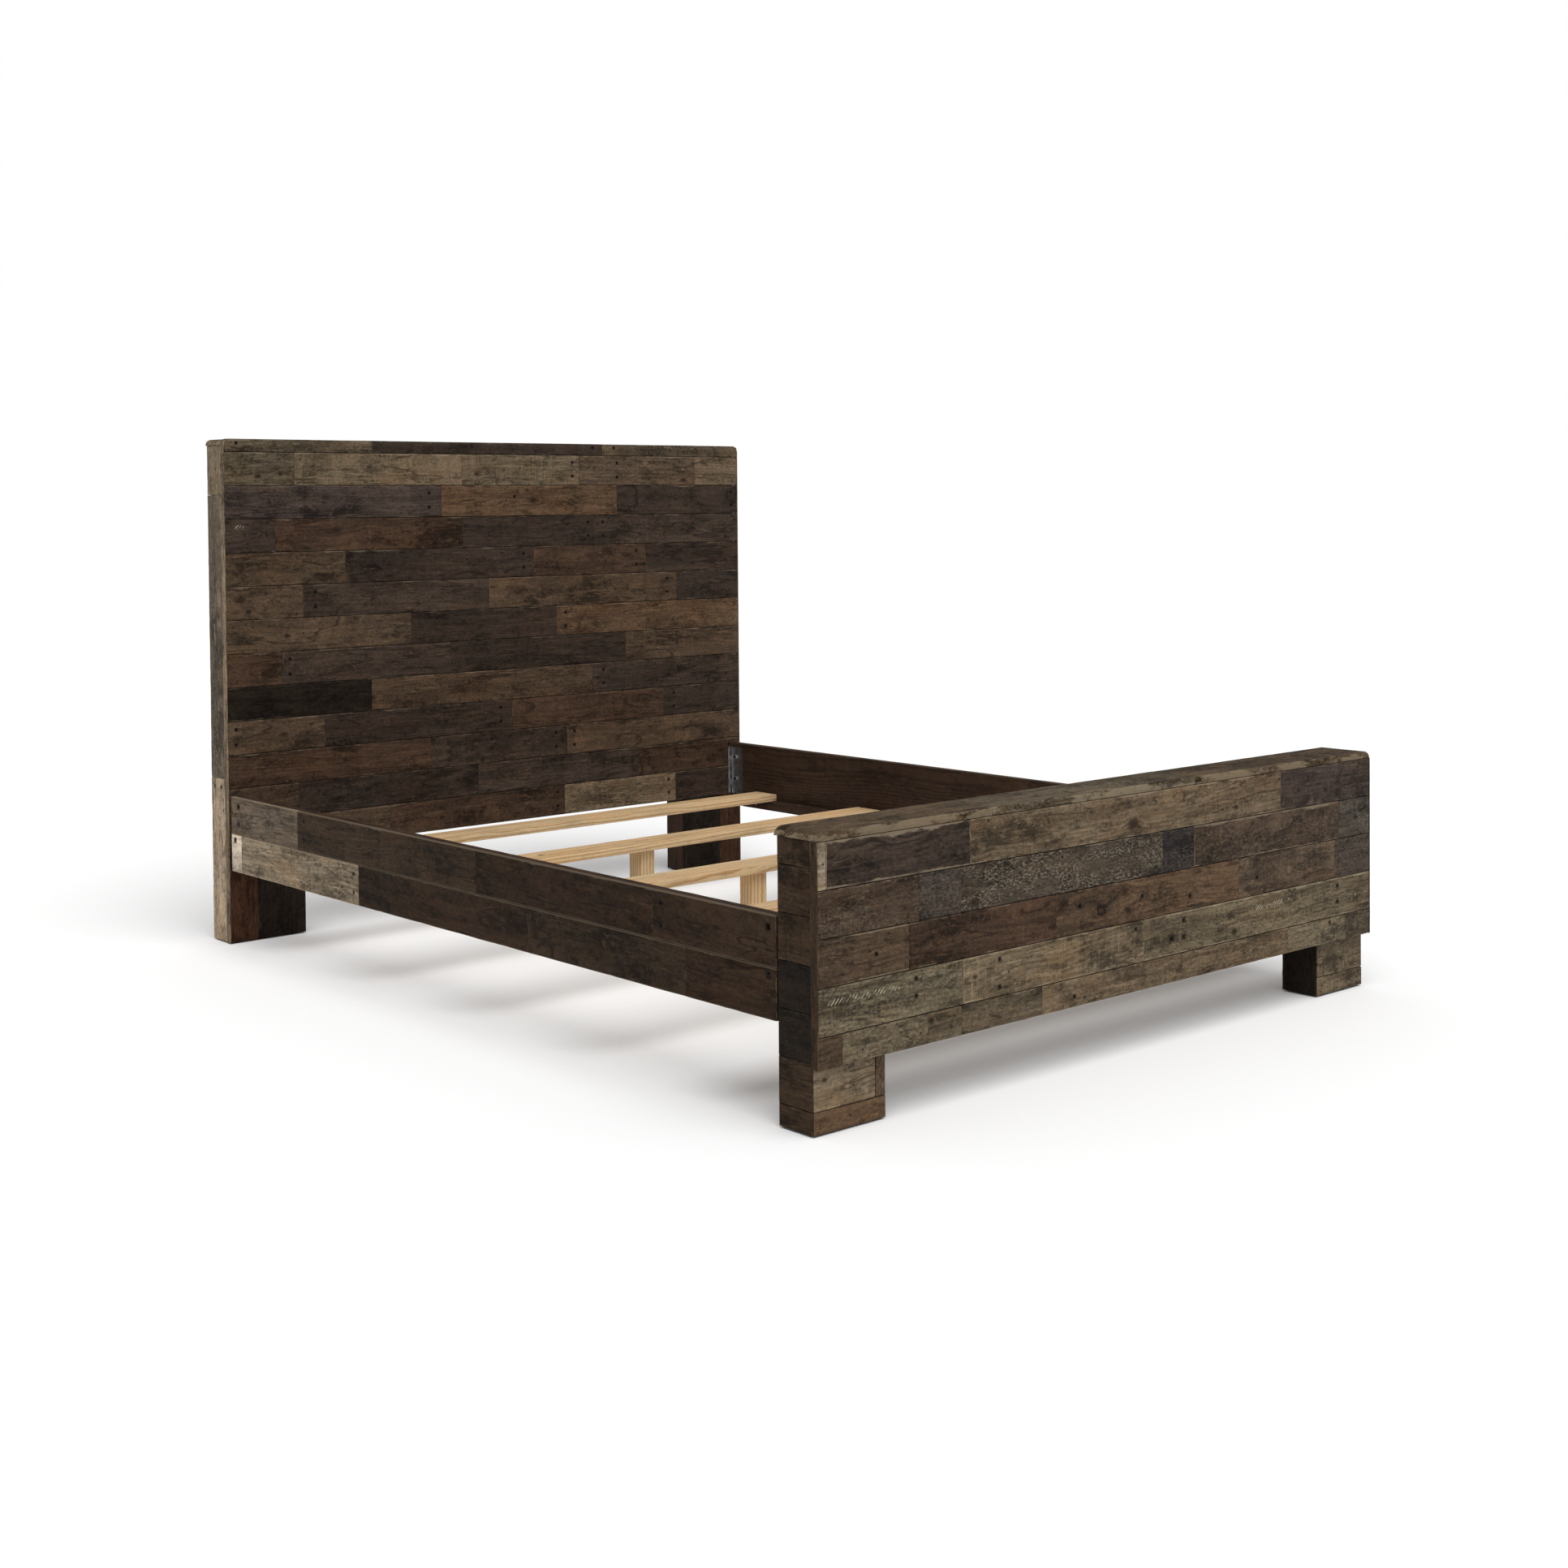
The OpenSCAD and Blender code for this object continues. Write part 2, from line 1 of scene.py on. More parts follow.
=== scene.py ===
"""Looks of a queen bed frame of reclaimed boards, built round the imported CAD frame.

Every visible board is rebuilt in the place of its CAD solid as a worn board: rounded and chipped
arrises, a face that isn't quite flat, real nail holes, and its own grain, knots and finish.
Lengths are in metres, apart from tables and shapes that say they are in millimetres.
"""
import json
import math
import random
from collections import namedtuple

import bpy
import numpy as np
from mathutils import Matrix, Vector


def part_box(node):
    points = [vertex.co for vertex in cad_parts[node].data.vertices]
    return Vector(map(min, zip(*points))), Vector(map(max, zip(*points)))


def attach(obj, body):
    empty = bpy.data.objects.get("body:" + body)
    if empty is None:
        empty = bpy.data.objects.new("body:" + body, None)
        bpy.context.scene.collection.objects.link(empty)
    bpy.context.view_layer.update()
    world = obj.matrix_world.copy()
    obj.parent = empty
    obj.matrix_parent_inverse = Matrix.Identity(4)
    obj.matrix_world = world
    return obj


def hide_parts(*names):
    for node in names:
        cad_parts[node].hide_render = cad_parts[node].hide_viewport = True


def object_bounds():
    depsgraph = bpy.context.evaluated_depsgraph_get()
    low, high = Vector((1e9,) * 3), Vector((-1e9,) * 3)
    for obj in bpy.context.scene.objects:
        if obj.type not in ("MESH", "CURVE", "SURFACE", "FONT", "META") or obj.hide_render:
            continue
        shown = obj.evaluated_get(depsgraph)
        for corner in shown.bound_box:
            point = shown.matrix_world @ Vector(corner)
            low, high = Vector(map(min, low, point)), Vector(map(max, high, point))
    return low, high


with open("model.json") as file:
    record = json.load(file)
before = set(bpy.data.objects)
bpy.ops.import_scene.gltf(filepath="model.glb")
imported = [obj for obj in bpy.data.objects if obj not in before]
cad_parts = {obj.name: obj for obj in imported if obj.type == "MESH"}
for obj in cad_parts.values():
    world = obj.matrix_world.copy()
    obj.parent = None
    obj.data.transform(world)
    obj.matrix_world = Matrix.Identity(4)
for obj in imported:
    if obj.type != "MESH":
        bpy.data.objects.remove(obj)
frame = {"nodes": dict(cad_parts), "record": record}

MM = 0.001
X, Y, Z = 0, 1, 2
UPRIGHT = (0, 0, 1)
cad_low, cad_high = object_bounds()
record_slots = {row["node"]: row["material_slot"] for row in frame["record"]["subparts"]}


def placed(name, data):
    """A new object in the scene."""
    made = bpy.data.objects.new(name, data)
    bpy.context.scene.collection.objects.link(made)
    return made


def meshed(name, points, faces, material):
    """A new object with a mesh of one material."""
    mesh = bpy.data.meshes.new(name)
    mesh.from_pydata(points, [], faces)
    mesh.materials.append(material)
    return placed(name, mesh)


def fit(made, body, node):
    """Ties a piece to its body, and hides the CAD node it stands in for."""
    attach(made, body)
    if node:
        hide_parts(node)


# ---- camera, light and floor

CAMERA_PLACE = (-3.136, -3.721, 1.077)
CAMERA_TURN = {"yaw": 41.59, "pitch": -1.5, "roll": -0.46}
CAMERA_LENS = 47.8
CAMERA_SHIFT = (-0.0136, -0.145)
SENSOR_WIDTH = 36

SKY_STRENGTH = 0.56
SUN_STRENGTH = 2.3
SUN_ANGLE = 55.0
SUN_HEIGHT = math.radians(62.0)
SUN_FROM = (-0.35, -1.0)
WHITE = (1, 1, 1, 1)
FLOOR_COLOR = (0.9, 0.9, 0.9, 1)
FLOOR_ROUGHNESS = 0.9
FLOOR_SIZE = 400.0


def make_camera():
    camera = placed("camera", bpy.data.cameras.new("camera"))
    camera.data.sensor_width = SENSOR_WIDTH
    camera.data.lens = CAMERA_LENS
    camera.data.shift_x, camera.data.shift_y = CAMERA_SHIFT
    yaw, pitch, roll = (math.radians(angle) for angle in CAMERA_TURN.values())
    turn = Matrix.Rotation(-yaw, 4, "Z") @ Matrix.Rotation(math.pi / 2 + pitch, 4, "X")
    camera.matrix_world = Matrix.Translation(CAMERA_PLACE) @ turn @ Matrix.Rotation(roll, 4, "Z")
    bpy.context.scene.camera = camera


def make_light():
    """Even sky light with a broad, soft sun, in front of a backdrop that looks plain white."""
    world = bpy.data.worlds.new("studio")
    bpy.context.scene.world = world
    world.use_nodes = True
    nodes, links = world.node_tree.nodes, world.node_tree.links
    sky = nodes["Background"]
    sky.inputs["Strength"].default_value = SKY_STRENGTH
    backdrop = nodes.new("ShaderNodeBackground")
    for shade in (sky, backdrop):
        shade.inputs["Color"].default_value = WHITE
    seen = nodes.new("ShaderNodeLightPath")
    pick = nodes.new("ShaderNodeMixShader")
    links.new(seen.outputs["Is Camera Ray"], pick.inputs[0])
    links.new(sky.outputs[0], pick.inputs[1])
    links.new(backdrop.outputs[0], pick.inputs[2])
    links.new(pick.outputs[0], nodes["World Output"].inputs["Surface"])
    sun = placed("sun", bpy.data.lights.new("sun", "SUN"))
    sun.data.energy = SUN_STRENGTH
    sun.data.angle = math.radians(SUN_ANGLE)
    from_side = Vector(SUN_FROM).normalized() * math.cos(SUN_HEIGHT)
    towards = Vector((-from_side.x, -from_side.y, -math.sin(SUN_HEIGHT)))
    sun.rotation_euler = towards.to_track_quat("-Z", "Y").to_euler()
    bpy.context.scene.view_settings.view_transform = "Standard"


def make_floor():
    surface = Shader("pale_floor", {"Base Color": FLOOR_COLOR, "Roughness": FLOOR_ROUGHNESS})
    half = FLOOR_SIZE / 2
    corners = [(-half, -half, 0), (half, -half, 0), (half, half, 0), (-half, half, 0)]
    meshed("floor", corners, [(0, 1, 2, 3)], surface.material)


# ---- materials


def paint(red, green, blue):
    """A linear colour from the 0-255 values that a screen shows."""
    shares = [value / 255 for value in (red, green, blue)]
    return (*[((s + 0.055) / 1.055) ** 2.4 if s > 0.04 else s / 12.92 for s in shares], 1.0)


def arithmetic(operation, swapped=False):
    """A method of Signal that adds a Math node."""

    def method(self, *other):
        return self.shader.maths(operation, *((*other, self) if swapped else (self, *other)))

    return method


class Signal:
    """A value inside a material, for arithmetic with others and with numbers."""

    def __init__(self, shader, socket):
        self.shader, self.socket = shader, socket

    __add__ = arithmetic("ADD")
    __radd__ = arithmetic("ADD", swapped=True)
    __sub__ = arithmetic("SUBTRACT")
    __mul__ = arithmetic("MULTIPLY")
    __truediv__ = arithmetic("DIVIDE")
    __abs__ = arithmetic("ABSOLUTE")


class Shader:
    """A procedural material. Its methods add nodes and return what comes out of them."""

    def __init__(self, name, uniform):
        self.material = bpy.data.materials.new(name)
        self.material.use_nodes = True
        self.tree = self.material.node_tree
        self.surface = self.tree.nodes["Principled BSDF"]
        self.feed(self.surface, uniform)

    def feed(self, node, inputs):
        """Links or sets a node's inputs."""
        for socket, value in inputs.items():
            if isinstance(value, Signal):
                self.tree.links.new(value.socket, node.inputs[socket])
            else:
                node.inputs[socket].default_value = value

    def node(self, kind, inputs, output=0, **settings):
        made = self.tree.nodes.new("ShaderNode" + kind)
        for key, value in settings.items():
            setattr(made, key, value)
        self.feed(made, inputs)
        return Signal(self, made.outputs[output])

    def finish(self, color, roughness, height, distance):
        """Links the colour, roughness and bump to the surface."""
        normal = self.node("Bump", {"Height": height, "Distance": distance})
        self.feed(self.surface, {"Base Color": color, "Roughness": roughness, "Normal": normal})
        return self.material

    def attribute(self, name, output="Vector"):
        return self.node("Attribute", {}, output, attribute_name=name)

    def place(self):
        """The point in the object's own space."""
        return self.node("TexCoord", {}, "Object")

    def maths(self, operation, *values):
        return self.node("Math", dict(enumerate(values)), operation=operation)

    def most(self, first, second):
        return self.maths("MAXIMUM", first, second)

    def least(self, first, second):
        return self.maths("MINIMUM", first, second)

    def between(self, share, at_zero, at_one):
        return self.maths("MULTIPLY_ADD", share, at_one - at_zero, at_zero)

    def centred(self, value, amount):
        """A noise value from 0 to 1, as plus or minus half the amount."""
        return self.maths("MULTIPLY_ADD", value, amount, -amount / 2)

    def parts(self, vector):
        split = self.node("SeparateXYZ", {0: vector})
        return [Signal(self, output) for output in split.socket.node.outputs]

    def vector(self, x, y, z):
        return self.node("CombineXYZ", {0: x, 1: y, 2: z})

    def vector_maths(self, operation, inputs, output=0):
        return self.node("VectorMath", inputs, output, operation=operation)

    def moved(self, vector, offset):
        return self.vector_maths("ADD", {0: vector, 1: offset})

    def scaled(self, vector, amount):
        return self.vector_maths("SCALE", {0: vector, "Scale": amount})

    def length(self, x, y):
        return self.vector_maths("LENGTH", {0: self.vector(x, y, 0.0)}, "Value")

    def noise(self, vector, scales, detail=2.0, roughness=0.5):
        point = self.vector_maths("MULTIPLY", {0: vector, 1: scales})
        inputs = {"Vector": point, "Scale": 1.0, "Detail": detail, "Roughness": roughness}
        return self.node("TexNoise", inputs)

    def step(self, value, low, high):
        """Smoothly from 0 at low to 1 at high; low may be the larger of the two."""
        inputs = {"Value": value, "From Min": low, "From Max": high}
        return self.node("MapRange", inputs, interpolation_type="SMOOTHSTEP")

    def mix(self, share, first, second, blend="MIX"):
        inputs = {0: share, 6: first, 7: second}
        return self.node("Mix", inputs, 2, data_type="RGBA", blend_type=blend)


BARE_WOOD = paint(138, 126, 106)
# Dark of dirt and of painted shade in the joints and holes
GRIME_AND_SHADE = paint(24, 19, 16)
KNOT = paint(38, 27, 20)
KNOT_RIM = paint(24, 18, 15)
LIME = paint(150, 141, 122)
PIT = paint(32, 25, 20)
PORE = paint(30, 26, 22)
SCRATCH = paint(182, 174, 152)
WARM = (1.07, 1.0, 0.93, 1)
COOL = (0.95, 0.96, 0.97, 1)
RINGS_PER_METRE = 125.0
STROKES_PER_METRE = 115.0


def wood(
    name, worn_edges, grime_and_shade=0.0, worn_depth=0.004, specular=0.06, contrast=1.0, rings=0.25, painted_arris_highlight=0.0
):
    """Boards with their grain, knots and finish in attributes. See Piece.add for those."""
    s = Shader(name, {"Specular IOR Level": specular})
    centred, step, mix, most, least, scaled = s.centred, s.step, s.mix, s.most, s.least, s.scaled
    body = s.attribute("body", "Color")
    streak = s.attribute("streak", "Color")
    seed = s.attribute("seed", "Fac")
    place = s.attribute("place")
    u, v, depth = s.parts(place)
    long_size, wide_size, rubbed = s.parts(s.attribute("size"))
    saw, speckle, patches = s.parts(s.attribute("marks"))
    heart_v, heart_depth, slope = s.parts(s.attribute("heart"))
    offset = scaled(s.vector(3.1, 1.7, 2.3), seed)
    spot = s.moved(place, offset)

    def noise(along, across, detail=2.0, rough=0.5, at=spot):
        return s.noise(at, (along, across, across), detail, rough)

    def area(along, across, low, high, detail=3.0, rough=0.6):
        """Patches where a noise is high."""
        return step(noise(along, across, detail, rough), low, high)

    # Distance from the tree's heart, bent by slow noise, gives rings and cathedral grain
    slow = noise(2.0, 6.0)
    quick = noise(11.0, 34.0)
    cloud = noise(9.0, 22.0, 4.0, 0.62)
    grit = noise(120.0, 180.0, 3.0, 0.75)
    mottle = noise(38.0, 58.0, 5.0, 0.72)
    from_heart = v - heart_v + u * slope + centred(slow, 0.05) + centred(quick, 0.009)
    radius = s.length(from_heart, depth + heart_depth)
    knot_core, knot_rim, knot_halo = 0.0, 0.0, 0.0
    for index in (1, 2, 3):
        knot_u, knot_v, knot_r = s.parts(s.attribute(f"knot_{index}"))
        away = s.length((u - knot_u) * 0.65, v - knot_v) / most(abs(knot_r), 0.0001)
        hollow = s.maths("LESS_THAN", knot_r, 0.0)
        radius = radius + s.maths("EXPONENT", away * away * -0.35) * 0.012
        away = away + centred(quick, 0.8) + centred(cloud, 1.2) + centred(grit, 1.6)
        core = most(step(away, 1.1, 0.3), step(away, 1.0, 0.8) * 0.5)
        knot_core = most(knot_core, core * s.between(hollow, 1.0, 0.3))
        rim = step(abs(away - 0.9), 0.3, 0.14)
        knot_rim = most(knot_rim, rim * s.between(hollow, 0.25, 0.9))
        knot_halo = most(knot_halo, step(away, 2.2, 0.8))
    ring = s.maths("FRACT", radius * RINGS_PER_METRE)
    late_wood = step(ring, 0.4, 0.88) * step(ring, 1.0, 0.92)

    # Streaks and fibres follow the grain
    flow = s.moved(s.vector(u, radius, depth * 0.5), offset)
    bands = noise(3.5, 55.0, 4.0, 0.65, flow)
    fibre = noise(22.0, 420.0, 3.0, 0.7, flow)
    grain = noise(11.0, 170.0, 3.0, 0.65, flow)
    streaks = step(bands, 0.44, 0.6) * 0.5 + step(grain, 0.5, 0.62) * 0.35
    streaks = streaks + step(cloud, 0.5, 0.58) * 0.4 + step(mottle, 0.5, 0.6) * 0.45
    color = mix(least(streaks * contrast + late_wood * rings, 1.0), body, streak)

    def lay(share, layer):
        nonlocal color
        color = mix(share, color, layer)

    # Warm and cool patches, left by old finishes
    hue = noise(5.0, 14.0, 3.0, 0.6)
    lay(step(hue, 0.52, 0.66), mix(1.0, color, WARM, "MULTIPLY"))
    lay(step(hue, 0.48, 0.36), mix(1.0, color, COOL, "MULTIPLY"))

    # Squarish patches, as left by planing and by old fixings
    step_u = s.maths("FLOOR", u * 13.0 + seed)
    patch = s.node("TexWhiteNoise", {"W": step_u}, noise_dimensions="1D")
    tone = 1.06
    for part, amount in ((fibre, 0.9), (grain, 1.1), (cloud, 3.3), (mottle, 2.7), (grit, 2.0), (slow, 1.3)):
        tone = tone + centred(part, amount * contrast)
    color = scaled(color, most(tone + centred(patch, 0.45) * patches, 0.3))

    # Pale bleached grain and scuffs
    pale = scaled(body, 1.8)
    bleach = step(grain, 0.53, 0.66) * area(6.0, 18.0, 0.47, 0.6)
    lay(bleach * (0.5 * contrast), pale)
    scuffs = noise(30.0, 70.0, 6.0, 0.78, s.moved(spot, (5.0, 2.0, 0.0)))
    scuffs = step(scuffs, 0.57, 0.62) * step(cloud, 0.58, 0.42)
    lay(scuffs * (0.5 * contrast), pale)

    # Fine cracks along the grain
    bent = noise(2.6, 24.0, 3.0, 0.6, s.moved(flow, (3.0, 0.0, 1.0)))
    crack = step(abs(bent - 0.5), 0.018, 0.004) * area(7.0, 25.0, 0.44, 0.54, 2.0, 0.5)
    lay(crack * (0.7 * contrast), scaled(streak, 0.5))

    # Saw marks across the grain, in patches
    kerf = noise(260.0, 11.0, 2.0, 0.7)
    saw_area = area(8.0, 24.0, 0.42, 0.56) * saw
    lay(step(kerf, 0.55, 0.7) * saw_area * 0.42, pale)
    lay(step(kerf, 0.45, 0.3) * saw_area * 0.5, scaled(streak, 0.7))

    # Pale speckle of old lime in the pores, between dark pores
    dots = noise(120.0, 260.0, 2.0, 0.8)
    dots_area = area(7.0, 22.0, 0.38, 0.56) * speckle
    lay(step(dots, 0.5, 0.6) * dots_area * 0.42, LIME)
    lay(step(dots, 0.48, 0.4) * dots_area * 0.5, PORE)

    # Worm holes and dents, only in wood that had an earlier use
    cells = s.node("TexVoronoi", {"Vector": spot, "Scale": 48.0})
    pits = step(cells, 0.16, 0.08) * area(23.0, 37.0, 0.5, 0.58, 2.0, 0.5)
    pits = pits * (0.8 if contrast >= 1.0 else 0.0)
    lay(pits, PIT)

    # Knots
    lay(knot_halo * 0.5, scaled(streak, 0.75))
    lay(knot_core * (0.85 + centred(mottle, 1.0)), KNOT)
    lay(knot_rim, KNOT_RIM)

    # Pale hatched scratches in a wandering line, as left by worms
    trail_u, trail_v, trail_length = s.parts(s.attribute("trail"))
    along = u - trail_u
    inside = step(along, 0.0, 0.004) * step(trail_length - along, 0.0, 0.004)
    above = v - trail_v + centred(cloud, 0.03) + centred(grit, 0.006)
    leaning = along + above * -1.0 + centred(cloud, 0.03) + centred(grit, 0.005)
    stroke = abs(s.maths("FRACT", leaning * STROKES_PER_METRE) - 0.5)
    trail = step(stroke, 0.22, 0.08) * step(abs(above), 0.007, 0.003) * inside
    trail = trail * area(46.0, 30.0, 0.44, 0.54, 3.0, 0.7)
    lay(trail * 0.75, SCRATCH)

    # Pale worn edges beside the dark joints, and a painted highlight along the rail boards' arrises; dirt
    # and painted shade deeper down and in the holes
    from_end = least(u, long_size - u)
    from_top = wide_size - v
    from_edge = least(v * 1.5, from_top)
    from_arris = least(from_edge, from_end * 4.0)
    torn = noise(14.0, 40.0, 5.0, 0.7)
    reach = 0.004 * worn_edges
    worn = step(from_arris + centred(torn, 0.03) + rubbed * -0.004, reach, reach - 0.004)
    worn = worn * step(depth, worn_depth, worn_depth / 2) * (worn_edges + rubbed * 0.4)
    # Painted highlight: a pale line along the top and bottom arrises, as if they caught the light, on top of
    # the wear
    worn = most(worn, step(least(v, from_top), 0.003, 0.001) * painted_arris_highlight)
    lay(worn, mix(0.5, pale, BARE_WOOD))
    # Dirt and painted shade: darker more than about 1.5 mm in from the face, down the sides of the boards in
    # the gaps between them, and on the rounded edges of the face beside the joints; holes get painted shade
    # inside and a dark stain round their rims.
    dirt_and_shade = most(step(depth, 0.0014, 0.003), step(from_edge, 0.0013, 0.0005))
    dirt_and_shade = most(dirt_and_shade * grime_and_shade, s.attribute("stain", "Fac"))
    lay(dirt_and_shade * 0.85, GRIME_AND_SHADE)

    roughness = 0.68 + centred(fibre, 0.4) + centred(cloud, 0.2) + worn * -0.08
    height = fibre * 0.7 + grain * 0.5 + grit * 0.6 + late_wood * 0.2
    height = height + saw_area * kerf * 1.2 + dots * dots_area * 0.8 + pits * -1.5 + knot_rim * -0.6
    return s.finish(color, roughness, height, 0.6 * MM)


def hard(name, uniform, colors, fine, coarse, patches, rough, bump):
    """Steel or plastic: fine marks in its surface, and patches of a second colour."""
    s = Shader(name, uniform)
    marks = s.noise(s.place(), *fine)
    cloud = s.noise(s.place(), *coarse)
    shade = s.mix(s.step(cloud, *patches), *colors)
    uneven = rough[0] + s.centred(marks, rough[1]) + s.centred(cloud, 0.2)
    return s.finish(shade, uneven, marks, bump)


def steel(name, color, dark, rough, brushing):
    """Plated or blackened steel, with fine brushing and dull patches."""
    fine, coarse = (brushing, 3.0, 0.6), ((60.0, 60.0, 60.0), 3.0, 0.6)
    return hard(name, {"Metallic": 1.0}, (color, dark), fine, coarse, (0.35, 0.7), (rough, 0.25), 0.05 * MM)


def plastic(name, color, dusty):
    """Matt moulded plastic with a fine spark-eroded grain."""
    fine, coarse = ((1500.0, 1500.0, 1500.0), 2.0), ((70.0, 70.0, 70.0), 3.0)
    shine = {"Specular IOR Level": 0.4}
    return hard(name, shine, (color, dusty), fine, coarse, (0.45, 0.75), (0.5, 0.3), 0.08 * MM)


def hardboard(name):
    """Brown pressed fibre sheet, with scuffs."""
    s = Shader(name, {"Specular IOR Level": 0.15})
    place = s.place()
    flecks = s.noise(place, (260.0, 260.0, 300.0), 4.0, 0.75)
    chips = s.noise(place, (90.0, 90.0, 130.0), 3.0, 0.7)
    cloud = s.noise(place, (4.0, 4.0, 6.0), 4.0, 0.6)
    shade = s.mix(s.step(flecks, 0.4, 0.6), paint(82, 62, 45), paint(116, 92, 68))
    shade = s.mix(s.step(chips, 0.6, 0.7) * 0.5, shade, paint(146, 122, 94))
    shade = s.scaled(shade, 1.0 + s.centred(cloud, 1.0))
    scuff = s.noise(place, (3.0, 3.0, 160.0), 3.0, 0.6)
    scuff = s.step(scuff, 0.6, 0.68) * s.step(s.noise(place, (9.0, 9.0, 9.0)), 0.5, 0.6)
    shade = s.mix(scuff * 0.35, shade, paint(158, 138, 112))
    rough = 0.74 + s.centred(flecks, 0.3) + scuff * -0.1
    return s.finish(shade, rough, flecks + chips * 0.5, 0.25 * MM)


def dowel_wood(name):
    """Pale turned hardwood."""
    s = Shader(name, {"Specular IOR Level": 0.2})
    fibre = s.noise(s.place(), (60.0, 400.0, 400.0), 3.0, 0.6)
    shade = s.mix(s.step(fibre, 0.35, 0.65), paint(204, 176, 136), paint(170, 138, 98))
    return s.finish(shade, 0.6 + s.centred(fibre, 0.3), fibre, 0.15 * MM)


# How worn, how dark with dirt and painted shade in its joints, how shiny and how strongly marked the wood of
# each slot is, and how strong a painted highlight along its arrises is
WOODS = {
    "face_boards": {"worn_edges": 0.5, "grime_and_shade": 0.9},
    "leg_boards": {"worn_edges": 0.35, "grime_and_shade": 0.6},
    "cap_boards": {"worn_edges": 0.68, "worn_depth": 0.03, "specular": 0.03, "contrast": 1.3},
    "rail_boards": {"worn_edges": 0.5, "painted_arris_highlight": 0.5},
    "edge_bands": {"worn_edges": 0.3},
    "pine": {"worn_edges": 0.15, "specular": 0.2, "contrast": 0.2, "rings": 0.85},
    "stained_pine": {"worn_edges": 0.2, "contrast": 0.5, "rings": 0.6},
}


def make_materials():
    """The material of each slot of the record."""
    made = {slot: wood(slot, **settings) for slot, settings in WOODS.items()}
    made["back_sheet"] = hardboard("back_sheet")
    made["zinc_steel"] = steel("zinc_steel", paint(196, 197, 199), paint(150, 152, 156), 0.38, (90, 90, 900))
    made["black_steel"] = steel("black_steel", paint(40, 40, 42), paint(26, 26, 27), 0.45, (300, 300, 300))
    made["black_plastic"] = plastic("black_plastic", paint(32, 32, 34), paint(74, 72, 69))
    return made


# ---- finishes of the boards

# name: colour of the wood, colour of its streaks, and how strong its saw marks, its pale
# speckle and its squarish patches are
FINISHES = {
    "pale": ((162, 144, 122), (126, 108, 88), 0.3, 0.2, 0.2),
    "straw": ((140, 127, 107), (102, 89, 72), 0.2, 0.2, 0.2),
    "wheat": ((124, 110, 91), (92, 79, 62), 0.2, 0.1, 0.2),
    "tan": ((106, 91, 72), (70, 57, 43), 0.3, 0.2, 0.25),
    "sawn_tan": ((106, 92, 73), (74, 61, 47), 1.0, 0.1, 0.5),
    "sawn_wheat": ((116, 102, 82), (80, 68, 52), 0.8, 0.1, 0.5),
    "hazel": ((94, 78, 62), (62, 50, 40), 0.3, 0.2, 0.5),
    "olive": ((106, 95, 75), (68, 59, 46), 0.35, 0.45, 0.3),
    "ash": ((106, 94, 79), (72, 62, 52), 0.3, 0.3, 0.3),
    "drift": ((92, 80, 63), (58, 49, 38), 0.3, 0.3, 0.3),
    "umber": ((84, 70, 53), (55, 44, 33), 0.2, 0.15, 0.4),
    "orange": ((92, 72, 53), (62, 46, 34), 0.2, 0.15, 0.4),
    "brown": ((82, 66, 51), (54, 42, 32), 0.2, 0.1, 0.6),
    "sawn_brown": ((76, 62, 50), (52, 42, 34), 1.0, 0.3, 1.0),
    "red": ((72, 54, 41), (47, 35, 27), 0.1, 0.05, 0.6),
    "rust": ((67, 42, 28), (48, 31, 21), 0.05, 0.0, 0.2),
    "grey": ((74, 67, 59), (52, 46, 40), 0.4, 0.5, 0.4),
    "speckled": ((76, 67, 56), (53, 46, 39), 0.2, 1.0, 0.3),
    "slate": ((66, 57, 50), (46, 40, 36), 0.2, 0.3, 0.4),
    "ink": ((52, 45, 43), (36, 31, 30), 0.2, 0.3, 0.3),
    "charcoal": ((66, 54, 45), (42, 34, 29), 0.1, 0.05, 0.6),
    "plum": ((72, 61, 55), (48, 40, 36), 0.1, 0.05, 0.5),
    "dark": ((58, 47, 39), (39, 31, 26), 0.15, 0.05, 0.5),
    "black": ((34, 27, 20), (23, 18, 14), 0.1, 0.05, 0.3),
    "walnut": ((58, 45, 33), (41, 31, 22), 0.1, 0.05, 0.4),
    # Painted shade: a dark brown that stands in for shade on boards shown as if in shadow
    "mahogany": ((52, 39, 28), (36, 26, 19), 0.05, 0.0, 0.3),
    "bleached": ((188, 174, 156), (150, 136, 118), 0.2, 0.1, 0.1),
    "raw_pine": ((190, 165, 128), (158, 122, 82), 0.1, 0.0, 0.0),
    "stained_pine": ((60, 46, 36), (43, 32, 26), 0.1, 0.0, 0.05),
}

FOOT_ROWS = [
    "straw charcoal tan plum",
    "sawn_brown slate speckled ink sawn_brown grey",
    "brown red brown orange hazel slate",
    "olive sawn_wheat olive",
    "brown olive drift drift tan tan olive drift",
]
HEAD_STRIP = "drift dark drift"
HEAD_ROWS = [
    "drift sawn_tan sawn_tan hazel tan",
    "plum orange dark",
    "charcoal red dark charcoal",
    "brown dark red dark",
    "brown charcoal brown dark",
    "brown dark orange",
    "red charcoal dark brown",
    "black brown charcoal",
    "brown dark red dark",
    "red charcoal brown",
    "brown dark charcoal red",
    "brown red tan dark",
]
FOOT_CAP = "umber drift umber"
HEAD_CAP = "drift brown drift"
FOOT_BACK = "tan brown olive dark orange grey brown tan red olive brown slate tan brown"
# The left rail's boards are mostly in the darkest brown, a painted shade as if the rail lay in shadow
RAIL_LEFT = ["mahogany mahogany walnut ash", "mahogany walnut mahogany straw bleached"]
RAIL_RIGHT = ["red brown dark tan", "brown tan dark olive"]

